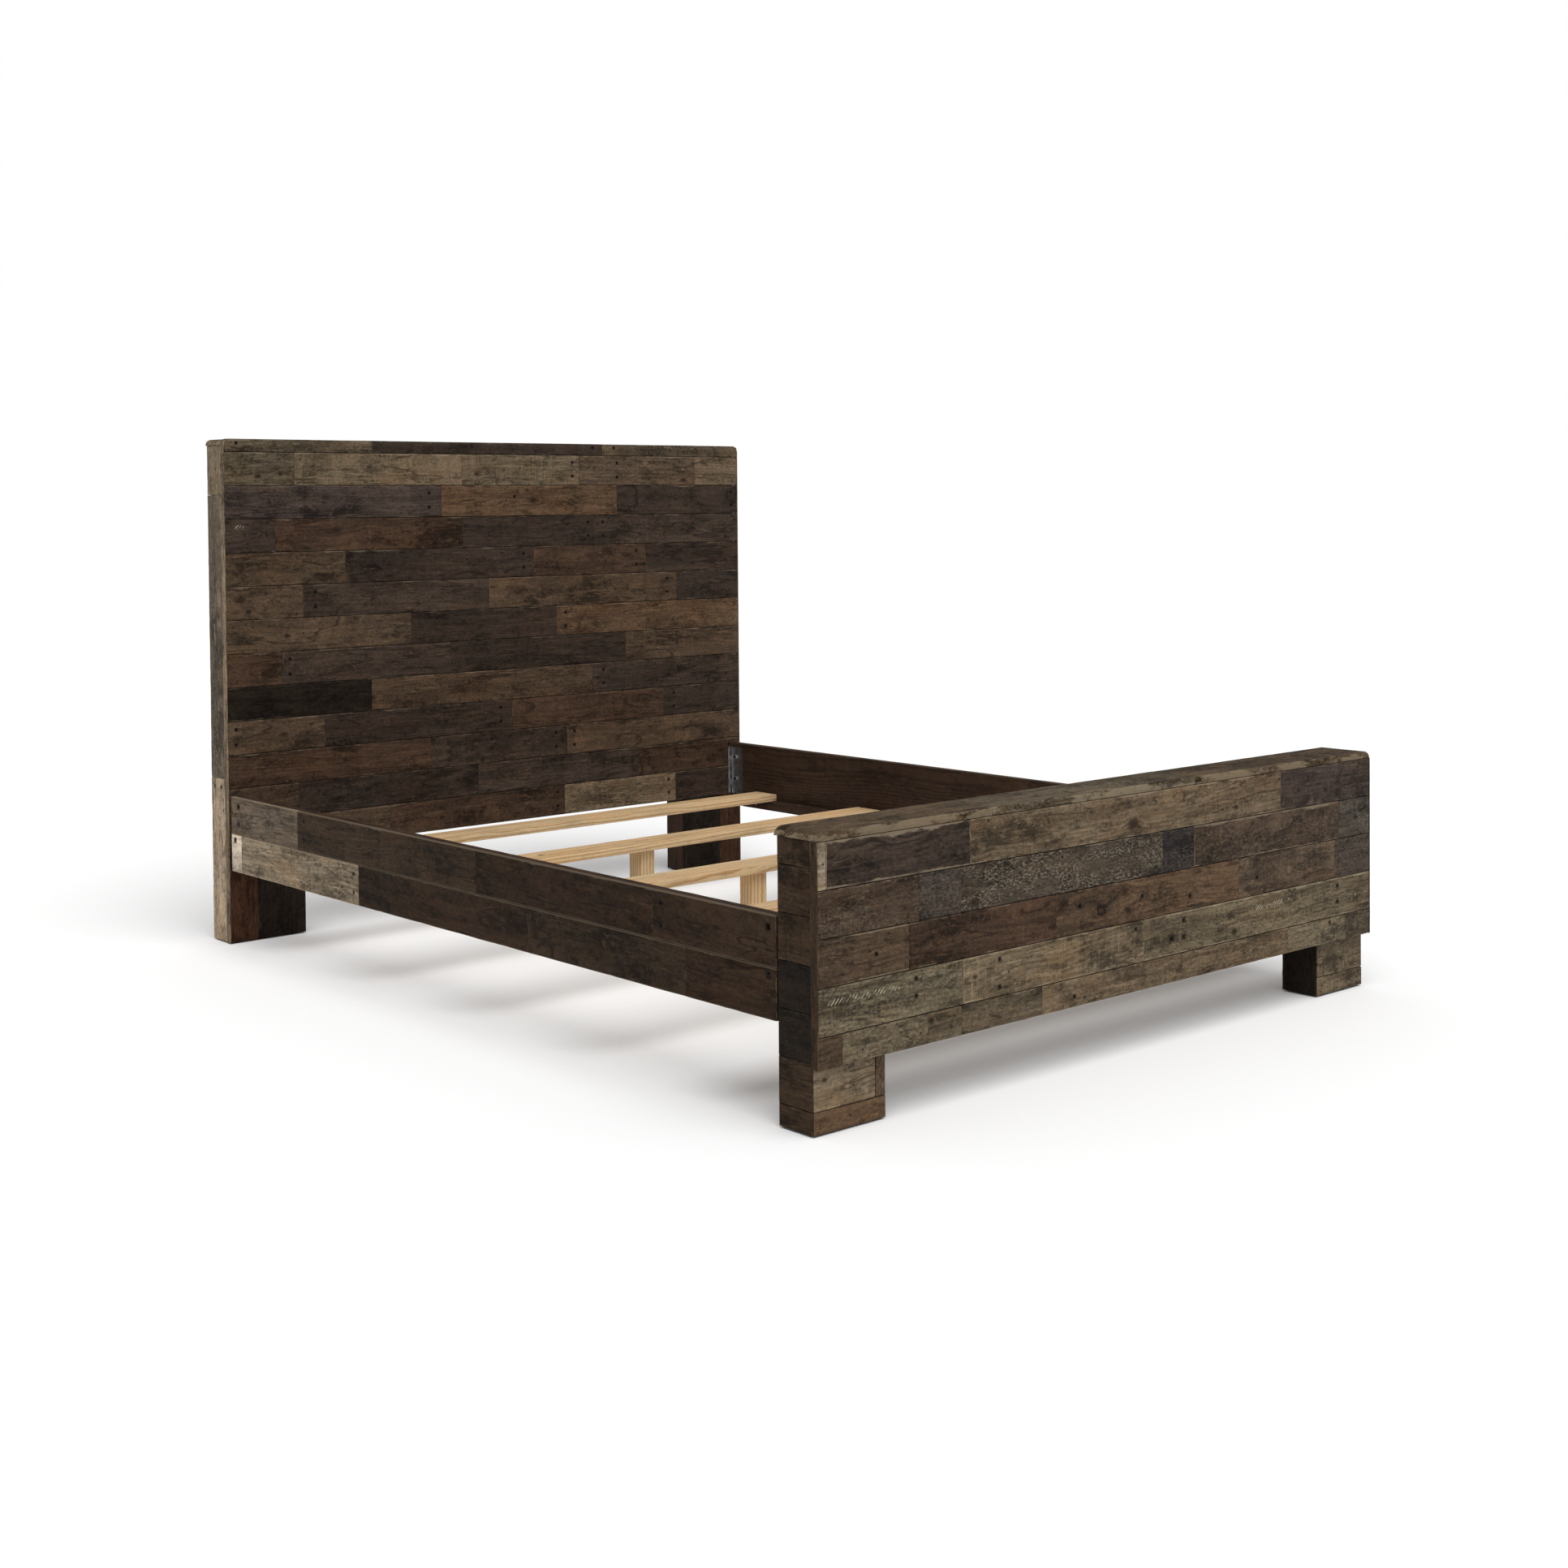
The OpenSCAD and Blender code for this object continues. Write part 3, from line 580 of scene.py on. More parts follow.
# Knots and knot holes (along, up, radius), nails (along, up) and a trail (along, up, length) of
# single boards, in millimetres from the board's low corner, and how rubbed their edges are. A knot
# with a negative radius is hollow: its rim shows more than its core.
DETAILS = {
    ("foot_row_1", 1): {"knots": [(250, 62, 4)], "rubbed": 1.2},
    ("foot_row_1", 2): {"knots": [(455, 24, 10), (330, 60, 3), (780, 24, 4)], "rubbed": 0.4},
    ("foot_row_1", 3): {"knots": [(160, 28, 4), (205, 40, 4)]},
    ("foot_row_2", 2): {"knots": [(32, 12, 8)]},
    ("foot_row_2", 4): {"knots": [(60, 30, 4)], "rubbed": 0.7},
    ("foot_row_2", 5): {"knots": [(62, 40, 4)]},
    ("foot_row_3", 2): {"knots": [(127, 36, -9), (66, 51, 5)], "knot_holes": [(66, 51, 2.5)]},
    ("foot_row_3", 3): {"knots": [(16, 62, 9), (28, 24, 7)], "nails": [(70, 46), (219, 27)]},
    ("foot_row_3", 4): {"nails": [(61, 36)], "knots": [(61, 73, 3)]},
    ("foot_row_4", 0): {"nails": [(231, 66), (231, 35)], "trail": (20, 56, 175)},
    ("foot_row_4", 1): {"nails": [(94, 67), (94, 16), (480, 67)], "knots": [(30, 45, 4)], "rubbed": 0.3},
    ("foot_row_4", 2): {
        "knots": [(86, 34, 8), (276, 51, 6), (290, 17, 5)],
        "knot_holes": [(86, 34, 4)],
        "rubbed": 0.7,
        "nails": [(124, 64), (124, 31), (653, 64), (653, 33)],
        "trail": (330, 57, 190),
    },
    ("foot_row_3", 0): {"nails": [(135, 40)], "rubbed": 0.5},
    ("foot_row_5", 2): {"knots": [(8, 42, 4)]},
    ("foot_row_5", 4): {"nails": [(90, 20)]},
    ("foot_row_5", 6): {"nails": [(150, 52)]},
    ("head_row_1", 0): {"knots": [(150, 30, 5), (90, 22, 4)]},
    ("head_row_1", 1): {"rubbed": 0.5},
    ("head_row_1", 3): {"knots": [(370, 14, 6)], "nails": [(130, 62), (130, 22)]},
    ("head_row_2", 1): {"knots": [(290, 42, 7), (270, 70, 4)], "nails": [(230, 52)]},
    ("head_row_3", 0): {"trail": (25, 62, 30)},
    ("head_row_3", 1): {"knots": [(170, 54, 8)]},
    ("head_row_4", 0): {"knots": [(40, 40, 5)]},
    ("head_row_5", 0): {"knots": [(36, 50, 7), (60, 20, 5)]},
    ("rail_boards_left", 4): {"knots": [(60, 40, 8)]},
}

# ---- boards as meshes

ARRIS = 1.3 * MM
EDGE_BAND = 3.0 * MM
STEP_ALONG = 15 * MM
STEP_ACROSS = 22 * MM
NAIL_RADIUS = 3.1 * MM
NAIL_DEPTH = 7 * MM
NAIL_CELL = 6 * MM
BOLT_RADIUS = 6 * MM
BOLT_DEPTH = 6.5 * MM
BOLT_CELL = 9 * MM
BEND_STEP = 2.5 * MM
BEND_LENGTH = 24 * MM
BEND_BOARD = 0.1
WEAR_WAVE = 0.11
BOW_WAVE = 0.5
SWELL_WAVES = (0.3, 0.06)
BOW = 0.3 * MM
SWELL = 0.22 * MM
KNOT_HOLLOW = 0.5 * MM
CHIP_EVERY = 0.11
CHIP_REACH = 7 * MM

# The kind of a vertex attribute and the name of its values, by how many numbers it has
ATTRIBUTES = {1: ("FLOAT", "value"), 3: ("FLOAT_VECTOR", "vector"), 4: ("FLOAT_COLOR", "color")}

# A hole's place on the face, radius, depth, and half the width of the cell it is cut in
Hole = namedtuple("Hole", "u v radius depth cell")


def solids(node):
    """The points of each separate solid of a CAD node, from its left, near and low end on."""
    mesh = frame["nodes"][node].data
    points = np.array([v.co for v in mesh.vertices])
    known = {}
    same = [known.setdefault(tuple(np.round(p, 6)), len(known)) for p in points]
    parent = list(range(len(known)))

    def root(i):
        while parent[i] != i:
            parent[i] = parent[parent[i]]
            i = parent[i]
        return i

    for face in mesh.polygons:
        corners = [root(same[v]) for v in face.vertices]
        for corner in corners[1:]:
            parent[root(corner)] = root(corners[0])
    groups = {}
    for i, key in enumerate(same):
        groups.setdefault(root(key), []).append(points[i])
    found = [np.array(g) for g in groups.values()]
    return sorted(found, key=lambda p: tuple(np.round((p.min(0) + p.max(0)) / 2, 3)))


def spaced(low, high, step, spots, half):
    """Values from low to high about a step apart, with a clear cell round each spot."""
    count = max(1, round((high - low) / step))
    kept = np.linspace(low, high, count + 1)[1:-1]
    kept = [x for x in kept if all(abs(x - spot) > half * 1.3 for spot in spots)]
    edges = [spot + side * half for spot in spots for side in (-1, 1)]
    return np.array(sorted([low, high, *kept, *edges]))


def snapped(values, low, high, apart):
    """The values kept inside low and high, with values that lie close together made equal."""
    made = {}
    for value in values:
        wanted = min(max(value, low), high)
        near = [m for m in made.values() if abs(m - wanted) < apart]
        made[value] = near[0] if near else wanted
    return made


class Ripple:
    """A smooth random wave between about -1 and 1, the same on each run."""

    def __init__(self, dice, wavelength):
        self.waves = [
            (2 * math.pi / (wavelength * dice.uniform(0.35, 1.6)), dice.uniform(0, 6.3))
            for _ in range(4)
        ]

    def __call__(self, x):
        return sum(np.sin(np.asarray(x) * k + phase) for k, phase in self.waves) / 2.6


class Board:
    """A board's own frame: u along the grain, v across the face, d in from the face."""

    def __init__(self, points, along, face, outward, mitred):
        self.low, self.high = points.min(0), points.max(0)
        self.along, self.face, self.across = along, face, 3 - along - face
        self.outward = outward
        self.turned = []
        self.measure()
        axes = np.zeros((3, 3))
        axes[0][along] = axes[1][self.across] = 1
        axes[2][face] = -outward
        self.right_handed = np.linalg.det(axes) > 0
        self.mitre = self.measured_mitre(points) if mitred else (0.0, 0.0, 0.0, 0.0)

    def measure(self):
        span = self.high - self.low
        self.length, self.width, self.thick = span[[self.along, self.across, self.face]]

    def end_at(self, axis, level):
        """Moves the board's high end on one axis."""
        self.high[axis] = level
        self.measure()

    def levels(self):
        """Where the face and the back lie."""
        low, high = self.low[self.face], self.high[self.face]
        return (high, low) if self.outward > 0 else (low, high)

    def measured_mitre(self, points):
        """How far the back is set in at the low and high ends, along and across."""
        on_front, on_back = (points[abs(points[:, self.face] - at) < 0.01 * MM] for at in self.levels())
        made = []
        for axis in (self.along, self.across):
            made.append(on_back[:, axis].min() - on_front[:, axis].min())
            made.append(on_front[:, axis].max() - on_back[:, axis].max())
        return tuple(made)

    def world(self, local):
        u, v, d = local.T
        share_u, share_v, share_d = u / self.length, v / self.width, d / self.thick
        low_u, high_u, low_v, high_v = self.mitre
        u = u + (low_u * (1 - share_u) - high_u * share_u) * share_d
        v = v + (low_v * (1 - share_v) - high_v * share_v) * share_d
        made = np.zeros((len(local), 3))
        made[:, self.along] = self.low[self.along] + u
        made[:, self.across] = self.low[self.across] + v
        made[:, self.face] = self.levels()[0] - self.outward * d
        return made


class Piece:
    """Collects a CAD node's boards into one object, with the attributes its material reads."""

    def __init__(self, node):
        self.node = node
        self.points, self.faces = [], []
        self.values = {}
        self.count = 0

    def add(self, board, finish, dice, details, wavy, holes):
        """Adds one worn board. details holds its knots, nails and trail, in millimetres.

        place is the point in the board's own frame, size the board's length and width and how
        rubbed its edges are, marks how strong its saw marks, speckle and patches are, heart
        where the tree's middle lies, and a knot its place and radius.
        """
        knots = [tuple(x * MM for x in knot) for knot in details.get("knots", ())]
        nails = []
        for a, b in details.get("nails", ()):
            nails.append(Hole(a * MM, b * MM, NAIL_RADIUS, NAIL_DEPTH, NAIL_CELL))
        for a, b, radius in details.get("knot_holes", ()):
            nails.append(Hole(a * MM, b * MM, radius * MM, NAIL_DEPTH, 2 * radius * MM))
        local, stain, faces = board_mesh(board, dice, nails + holes, knots, wavy)
        if not board.right_handed:
            faces = [face[::-1] for face in faces]
        self.faces += [tuple(i + self.count for i in face) for face in faces]
        self.points.append(turned_corners(self.node, board.world(local)))
        self.count += len(local)
        body, streak, *marks = FINISHES[finish]
        lighter, warmer = dice.uniform(0.96, 1.04), dice.uniform(0.98, 1.02)
        tint = np.array([lighter * warmer, lighter, lighter / warmer, 1.0])
        knots += [(0, 0, 0)] * (3 - len(knots))
        values = {
            "place": local,
            "size": (board.length, board.width, details.get("rubbed", 0.0)),
            "marks": marks,
            "heart": [
                dice.uniform(-0.4, 1.4) * board.width,
                dice.uniform(0.012, 0.06),
                dice.uniform(-0.03, 0.03),
            ],
            **{f"knot_{number}": knot for number, knot in enumerate(knots, 1)},
            "trail": [x * MM for x in details.get("trail", (0, 0, 0))],
            "body": paint(*body) * tint,
            "streak": paint(*streak) * tint,
            "seed": [dice.uniform(0, 60)],
            # Marks hole points: a dark stain round each hole, and painted shade inside it
            "stain": stain,
        }
        for key, value in values.items():
            rows = np.atleast_2d(np.array(value, float))
            self.values.setdefault(key, []).append(np.broadcast_to(rows, (len(local), rows.shape[1])))

    def make(self, material):
        made = meshed(self.node + "_wood", np.concatenate(self.points).tolist(), self.faces, material)
        mesh = made.data
        mesh.polygons.foreach_set("use_smooth", [len(face) < 9 for face in self.faces])
        for key, parts in self.values.items():
            data = np.concatenate(parts).astype(np.float32)
            kind, field = ATTRIBUTES[data.shape[1]]
            mesh.attributes.new(key, kind, "POINT").data.foreach_set(field, data.ravel())
        mesh.validate()
        return made


def with_bends(us, board, margin):
    """The places along a board, with the closer ones that a rounded corner needs."""
    bends = np.arange(BEND_STEP, BEND_LENGTH, BEND_STEP)
    bends = bends[bends > margin + MM]
    ends = [board.length - bends if side > 0 else bends for side in board.turned]
    found = np.unique(np.round(np.concatenate([us, *ends]), 6))
    return found[np.append(True, np.diff(found) > 0.8 * MM)]


def ring_of_points(low, high, vs, width, thick, back):
    """A board's outline across the grain. low, high and back are the sizes of its arrises."""
    return [
        (low, 0.0),
        *((v, 0.0) for v in vs),
        (width - high, 0.0),
        (width - 0.3 * high, 0.3 * high),
        (width, high),
        (width, thick - back),
        (width - 0.3 * back, thick - 0.3 * back),
        (width - back, thick),
        (back, thick),
        (0.3 * back, thick - 0.3 * back),
        (0.0, thick - back),
        (0.0, low),
        (0.3 * low, 0.3 * low),
    ]


def board_mesh(board, dice, holes, knots, wavy):
    """A closed mesh of a worn board: its points in the board's frame, stain and faces. The stain marks the
    points of its holes, for a dark stain round each hole and painted shade inside it.
    """
    length, width, thick = board.length, board.width, board.thick
    arris = min(ARRIS, thick * 0.24, width * 0.1)
    margin = arris + min(EDGE_BAND, width * 0.1)
    cell = max([hole.cell for hole in holes], default=NAIL_CELL)
    at_u = snapped([hole.u for hole in holes], margin + cell, length - margin - cell, 2.4 * cell)
    at_v = snapped([hole.v for hole in holes], margin + cell, width - margin - cell, 2.4 * cell)
    us = spaced(margin, length - margin, STEP_ALONG, sorted(set(at_u.values())), cell)
    vs = spaced(margin, width - margin, STEP_ACROSS, sorted(set(at_v.values())), cell)
    if board.turned and length > BEND_BOARD:
        us = with_bends(us, board, margin)

    wears = [Ripple(dice, WEAR_WAVE) for _ in range(2)]
    bows = [Ripple(dice, BOW_WAVE) for _ in range(2)]
    swell_u, swell_v = (Ripple(dice, wave) for wave in SWELL_WAVES)
    set_back = dice.uniform(0.1, 0.8) * MM * wavy
    chips = []
    for _ in range(int(length / CHIP_EVERY)):
        chips.append((dice.uniform(0, length), dice.choice((0, 1)), dice.uniform(0.5, 1.6) * MM))
    scale = min(1.0, thick / (10 * MM)) * wavy

    def arris_at(u, edge):
        size = arris * (1.0 + 0.45 * wears[edge](u))
        for at, side, deep in chips:
            if side == edge:
                size += deep * scale * math.exp(-(((u - at) / CHIP_REACH) ** 2))
        return min(size, thick * 0.42, margin * 0.9)

    def dip(u, v):
        """How far the worn face lies below the board's true face."""
        total = set_back + SWELL * scale * (1 + swell_u(u) * 0.6 + swell_v(v) * 0.4)
        for knot_u, knot_v, radius in knots:
            away = ((u - knot_u) ** 2 * 0.4 + (v - knot_v) ** 2) / radius**2
            total = total + KNOT_HOLLOW * scale * np.exp(-away)
        return total

    low_end = [(0.0, arris), (0.3 * arris, 0.3 * arris), (arris, 0.0)]
    rings = low_end + [(u, 0.0) for u in us] + [(length - u, inset) for u, inset in low_end[::-1]]
    points = []
    for u, inset in rings:
        section = np.array(ring_of_points(arris_at(u, 0), arris_at(u, 1), vs, width, thick, arris))
        share = section[:, 0] / width
        bow = BOW * scale * ((1 + bows[0](u)) / 2 * (1 - share) - (1 + bows[1](u)) / 2 * share)
        section[:, 0] = inset + (section[:, 0] + bow) * (width - 2 * inset) / width
        section[:, 1] = inset + section[:, 1] * (thick - 2 * inset) / thick
        points.append(np.column_stack([np.full(len(section), u), section]))
    around = len(points[0])
    local = np.concatenate(points)
    local[:, 2] += dip(local[:, 0], local[:, 1]) * (1 - local[:, 2] / thick)

    faces, extra_points = [], []
    cells = {(at_u[hole.u], at_v[hole.v]): hole for hole in holes}
    for i in range(len(rings) - 1):
        for j in range(around):
            a, b = i * around + j, i * around + (j + 1) % around
            quad = (a, b, b + around, a + around)
            near = []
            if cells and 0 < j < len(vs) and i >= 3:
                middle = (rings[i][0] + rings[i + 1][0]) / 2, (vs[j - 1] + vs[j]) / 2
                near = [at for at in cells if max(abs(at[0] - middle[0]), abs(at[1] - middle[1])) < MM]
            if not near:
                faces.append(quad)
                continue
            middle = tuple(round(x, 6) for x in middle)
            start = len(local) + len(extra_points)
            extra, hole_faces = hole_mesh(quad, start, middle, cells[near[0]], float(dip(*middle)))
            extra_points += extra
            faces += hole_faces
    last = (len(rings) - 1) * around
    faces.append(tuple(range(around))[::-1])
    faces.append(tuple(range(last, last + around)))
    # Each hole's points are marked, for a dark stain round its rim and painted shade inside it
    stain = [[0.0]] * len(local) + [[1.0]] * len(extra_points)
    return np.concatenate([local, np.reshape(extra_points, (-1, 3))]), stain, faces


def hole_mesh(quad, start, middle, hole, face_depth):
    """A round hole in the middle of one quad of the face: new points, and faces in their place."""
    angles = [math.radians(22.5 + 45 * k) for k in range(8)]
    rim = [(middle[0] + hole.radius * math.cos(a), middle[1] + hole.radius * math.sin(a)) for a in angles]
    points = [(u, v, face_depth + deep) for deep in (0.0, hole.depth) for u, v in rim]
    top = [start + k for k in range(8)]
    low = [start + 8 + k for k in range(8)]
    corners = [(quad[k], quad[(k + 1) % 4], -2 * k) for k in range(4)]
    faces = [(this, after, top[(k + 3) % 8], top[(k + 4) % 8]) for this, after, k in corners]
    faces += [(after, top[(k + 2) % 8], top[(k + 3) % 8]) for this, after, k in corners]
    faces += [(top[(k + 1) % 8], top[k], low[k], low[(k + 1) % 8]) for k in range(8)]
    faces.append(tuple(low[::-1]))
    return points, faces


# The radius of each panel's rounded top corners, and the nodes whose boards bend round them
CORNERS = {"foot": 20 * MM, "head": 15 * MM}
TURNED = {"foot_cap", "foot_row_1", "foot_edge_bands", "head_cap", "head_top_strip", "head_edge_bands"}


def turned_corners(node, points):
    """Bends a panel's square top corners round, so that the grain runs on through them."""
    if node not in TURNED:
        return points
    panel = node[:4]
    radius = CORNERS[panel]
    _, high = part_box(f"{panel}_cap")
    centre_x, centre_z = high.x - radius, high.z - radius
    out = np.array([abs(points[:, X]) - centre_x, points[:, Z] - centre_z])
    inside = (out > 0).all(0)
    out *= out.max(0) / np.maximum(np.hypot(*out), 1e-9)
    points[inside, X] = (np.sign(points[:, X]) * (centre_x + out[0]))[inside]
    points[inside, Z] = (centre_z + out[1])[inside]
    return points


# ---- the boards of each CAD node

CORNER_REACH = 5 * MM
SHEET_GAP = 1.5 * MM
LONG_BOARD = 260
KNOT_CHANCE = 0.16
NAIL_CHANCE = 0.6
board_dice = random.Random(20)


def random_details(board, dice, reclaimed):
    """Sometimes a knot, and a nail pair near one end of a long board that had an earlier use."""
    length, width = board.length / MM, board.width / MM
    details = {}
    if reclaimed and length > LONG_BOARD and dice.random() < NAIL_CHANCE:
        at = dice.choice((dice.uniform(18, 40), length - dice.uniform(18, 40)))
        details["nails"] = [(at, width * 0.76), (at, width * 0.3)]
    if dice.random() < KNOT_CHANCE:
        radius = dice.uniform(3, 6)
        details["knots"] = [(dice.uniform(0.1, 0.9) * length, dice.uniform(0.2, 0.8) * width, radius)]
    return details


def build(node, plan, wavy=1.0):
    """Replaces a CAD node by worn boards.

    plan gets each solid's index, low corner and high corner, and returns its grain axis, its
    face axis, the face's direction and its finish. The boards round a footboard leg are mitred.
    """
    piece = Piece(node)
    for index, points in enumerate(solids(node)):
        along, face, outward, finish = plan(index, points.min(0), points.max(0))
        board = Board(points, along, face, outward, node.startswith("foot_leg_boards"))
        if node.startswith("head_post"):
            board.end_at(Y, board.high[Y] - SHEET_GAP)
        if node == "head_edge_bands":
            board.end_at(Z, cad_high.z)
        if node in TURNED and along == X:
            reached = ((-1, -board.low[X]), (1, board.high[X]))
            board.turned = [side for side, at in reached if at > cad_high.x - CORNER_REACH]
        details = DETAILS.get((node, index))
        if details is None:
            plain = node.startswith("foot_row")
            details = {} if plain else random_details(board, board_dice, wavy == 1.0)
        piece.add(board, finish, board_dice, details, wavy, bolt_holes(node, board))
    fit(piece.make(materials[record_slots[node]]), "frame", node)


def bolt_holes(node, board):
    """Counterbores for the hook plates' bolts, in the boards of a rail."""
    if not node.startswith("rail_boards"):
        return []
    found = []
    low, high = board.low, board.high
    for bolt in solids("hook_plate_bolts"):
        x, y, z = (bolt.min(0) + bolt.max(0)) / 2
        if x * board.outward > 0 and low[Y] < y < high[Y] and low[Z] < z < high[Z]:
            found.append(Hole(y - low[Y], z - low[Z], BOLT_RADIUS, BOLT_DEPTH, BOLT_CELL))
    return found


def row_plan(finishes, face=Y, outward=-1):
    """Boards laid along X."""
    names = finishes.split()
    return lambda index, low, high: (X, face, outward, names[index % len(names)])


def plain_plan(along, face, outward, finish="stained_pine"):
    return lambda index, low, high: (along, face, outward, finish)


def upright_plan(*finishes):
    """Upright boards that face away from the middle. Each finish has the height it reaches, in mm."""

    def plan(index, low, high):
        height = (low[Z] + high[Z]) / 2 / MM
        return Z, X, (1 if low[X] > 0 else -1), next(name for top, name in finishes if height < top)

    return plan


def rail_plan(rows, side):
    """Upper and lower rows of boards along Y, each counted from the foot end."""
    middle = sum(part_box("rail_core_left"), Vector()).z / 2
    upper, lower = (iter(row.split()) for row in rows)
    return lambda index, low, high: (Y, X, side, next(upper if low[Z] > middle - 5 * MM else lower))


def casing_plan(side):
    """Boards round a footboard leg. A board's thin axis tells which side it is on."""
    leg_low, leg_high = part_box("foot_leg_boards_left" if side < 0 else "foot_leg_boards_right")
    centre = (leg_low + leg_high) / 2

    def plan(index, low, high):
        wide, deep, tall = (high - low) / MM
        x, y, z = (low + high) / 2
        height = z / MM
        if wide < 20 and deep > 60:
            if (x > centre.x) != (side > 0):
                return Z, X, -side, "black"
            return Y, X, side, "black" if 126 < height < 292 else "walnut"
        if y > centre.y:
            return Z, Y, 1, "brown"
        if tall > 200:
            return Z, Y, -1, "dark"
        narrow = wide < 60
        finish = "sawn_wheat" if side > 0 else "hazel" if narrow else "orange" if height < 43 else "wheat"
        return (Z if narrow else X), Y, -1, finish

    return plan


# The head legs' outer boards are rust; the inner front boards are black, a painted shade under the rail
def head_leg_plan(index, low, high):
    outer = max(abs(low[X]), abs(high[X])) > cad_high.x - CORNER_REACH
    return Z, Y, -1, "rust" if outer else "black"


def build_boards():
    for i, finishes in enumerate(FOOT_ROWS, 1):
        build(f"foot_row_{i}", row_plan(finishes))
    build("head_top_strip", row_plan(HEAD_STRIP))
    for i, finishes in enumerate(HEAD_ROWS, 1):
        build(f"head_row_{i}", row_plan(finishes))
    build("foot_back_boards", row_plan(FOOT_BACK, outward=1))
    build("foot_cap", row_plan(FOOT_CAP, Z, 1))
    build("head_cap", row_plan(HEAD_CAP, Z, 1))
    build("foot_leg_boards_left", casing_plan(-1))
    build("foot_leg_boards_right", casing_plan(1))
    build("head_side_boards", upright_plan((406, "pale"), (1106, "ash"), (math.inf, "wheat")))
    build("head_leg_boards", head_leg_plan)
    build("rail_boards_left", rail_plan(RAIL_LEFT, -1))
    build("rail_boards_right", rail_plan(RAIL_RIGHT, 1))
    build("foot_edge_bands", upright_plan((math.inf, "walnut")), wavy=0.3)
    build("head_edge_bands", upright_plan((math.inf, "wheat")), wavy=0.3)
    build("cross_slats", plain_plan(X, Z, 1, "raw_pine"), wavy=0.5)
    build("support_legs", plain_plan(Z, Y, -1, "raw_pine"), wavy=0.5)
    for side, outward in (("left", 1), ("right", -1)):
        for part in ("core", "cleat"):
            build(f"rail_{part}_{side}", plain_plan(Y, X, outward), wavy=0.5)
        build(f"foot_post_{side}", plain_plan(Z, X, outward), wavy=0.5)
        build(f"head_post_{side}", plain_plan(Z, Y, 1), wavy=0.5)
    build("foot_stretchers", plain_plan(X, Y, 1), wavy=0.5)
    build("head_stretchers", plain_plan(X, Y, 1), wavy=0.5)
    build("head_back_sheet", plain_plan(X, Y, 1), wavy=0.15)


# ---- turned parts and hardware

# Profiles from the low end up, as radius and height in millimetres
HEXAGON = ((7.2, 10.1), (7.9, 10.7), (8, 15.3), (7.2, 16))
PAD = (
    *((1, 1), (14, 1), (14.6, 0.2), (15.2, 0), (18.4, 0), (19, 0.7), (19, 2), (19, 4.4), (19, 5.7)),
    *((18.4, 6.5), (15, 9.4), (14, 10), (6.2, 10), (5.6, 9.6), (4.6, 9.6), (4.05, 9.2), (4.05, 3)),
)
GLIDE = ((0.4, 0.9), (2.2, 0.9), (2.8, 0.5), (3.4, 0.5), (4.4, 0), (9.6, 0), (10.6, 0.6), (11, 1.4), (11, 3))
STAPLE = ((0.3, -5.2), (0.65, -4.7), (0.65, 4.7), (0.3, 5.2))
STUD_PITCH = 1.25 * MM
STUD_THREAD = 0.55 * MM
STUD_RADIUS = 4 * MM
STUD_ENDS = (3.5 * MM, 3.4 * MM)
SCREW_SIDES = 24
STAPLE_INSET = 12 * MM
STAPLE_PITCH = 110 * MM
SOFT_EDGE = 0.3 * MM


class Turned:
    """Points and faces of parts turned on a lathe, gathered into one object."""

    def __init__(self, name):
        self.name = name
        self.points, self.faces = [], []

    def turn(self, centre, axis, profile, sides, wave=None, capped=True):
        """Adds a closed shape from (radius, height) pairs along its outside, low end first.

        wave(angle, height) is added to the radius.
        """
        basis = basis_along(axis)
        start = len(self.points)
        angles = [2 * math.pi * k / sides for k in range(sides)]
        for radius, height in profile:
            for angle in angles:
                r = radius + (wave(angle, height) if wave else 0.0)
                local = (r * math.cos(angle), r * math.sin(angle), height)
                self.points.append(centre + sum(x * unit for x, unit in zip(local, basis)))
        rings = np.arange(start, len(self.points)).reshape(-1, sides).tolist()
        for low, high in zip(rings, rings[1:]):
            for k in range(sides):
                after = (k + 1) % sides
                self.faces.append((low[k], low[after], high[after], high[k]))
        self.faces.append(tuple(rings[0][::-1]))
        if capped:
            self.faces.append(tuple(rings[-1]))
        return basis, rings[-1]

    def make(self, material, body, node, slot=None):
        made = meshed(self.name, [tuple(p) for p in self.points], self.faces, material)
        made.data.polygons.foreach_set("use_smooth", [True] * len(self.faces))
        made.data.set_sharp_from_angle(angle=math.radians(35))
        fit(made, body, node)


def basis_along(axis):
    """Three unit vectors, the last along the axis."""
    third = np.array(axis, float) / np.linalg.norm(axis)
    helper = np.array((0.0, 0.0, 1.0)) if abs(third[2]) < 0.9 else np.array((1.0, 0.0, 0.0))
    first = np.cross(helper, third)
    first /= np.linalg.norm(first)
    return first, np.cross(third, first), third


def ends_of(points):
    """The long axis of a turned CAD solid: its low and high end and the radius at each."""
    low, high = points.min(0), points.max(0)
    axis = int(np.argmax(high - low))
    middle = (low + high) / 2
    others = [k for k in range(3) if k != axis]
    found = []
    for level in (low[axis], high[axis]):
        near = points[abs(points[:, axis] - level) < 0.05 * MM]
        end = middle.copy()
        end[axis] = level
        found.append((end, max(np.hypot(*(near[:, others] - middle[others]).T))))
    return found


def in_metres(profile):
    return [(radius * MM, height * MM) for radius, height in profile]


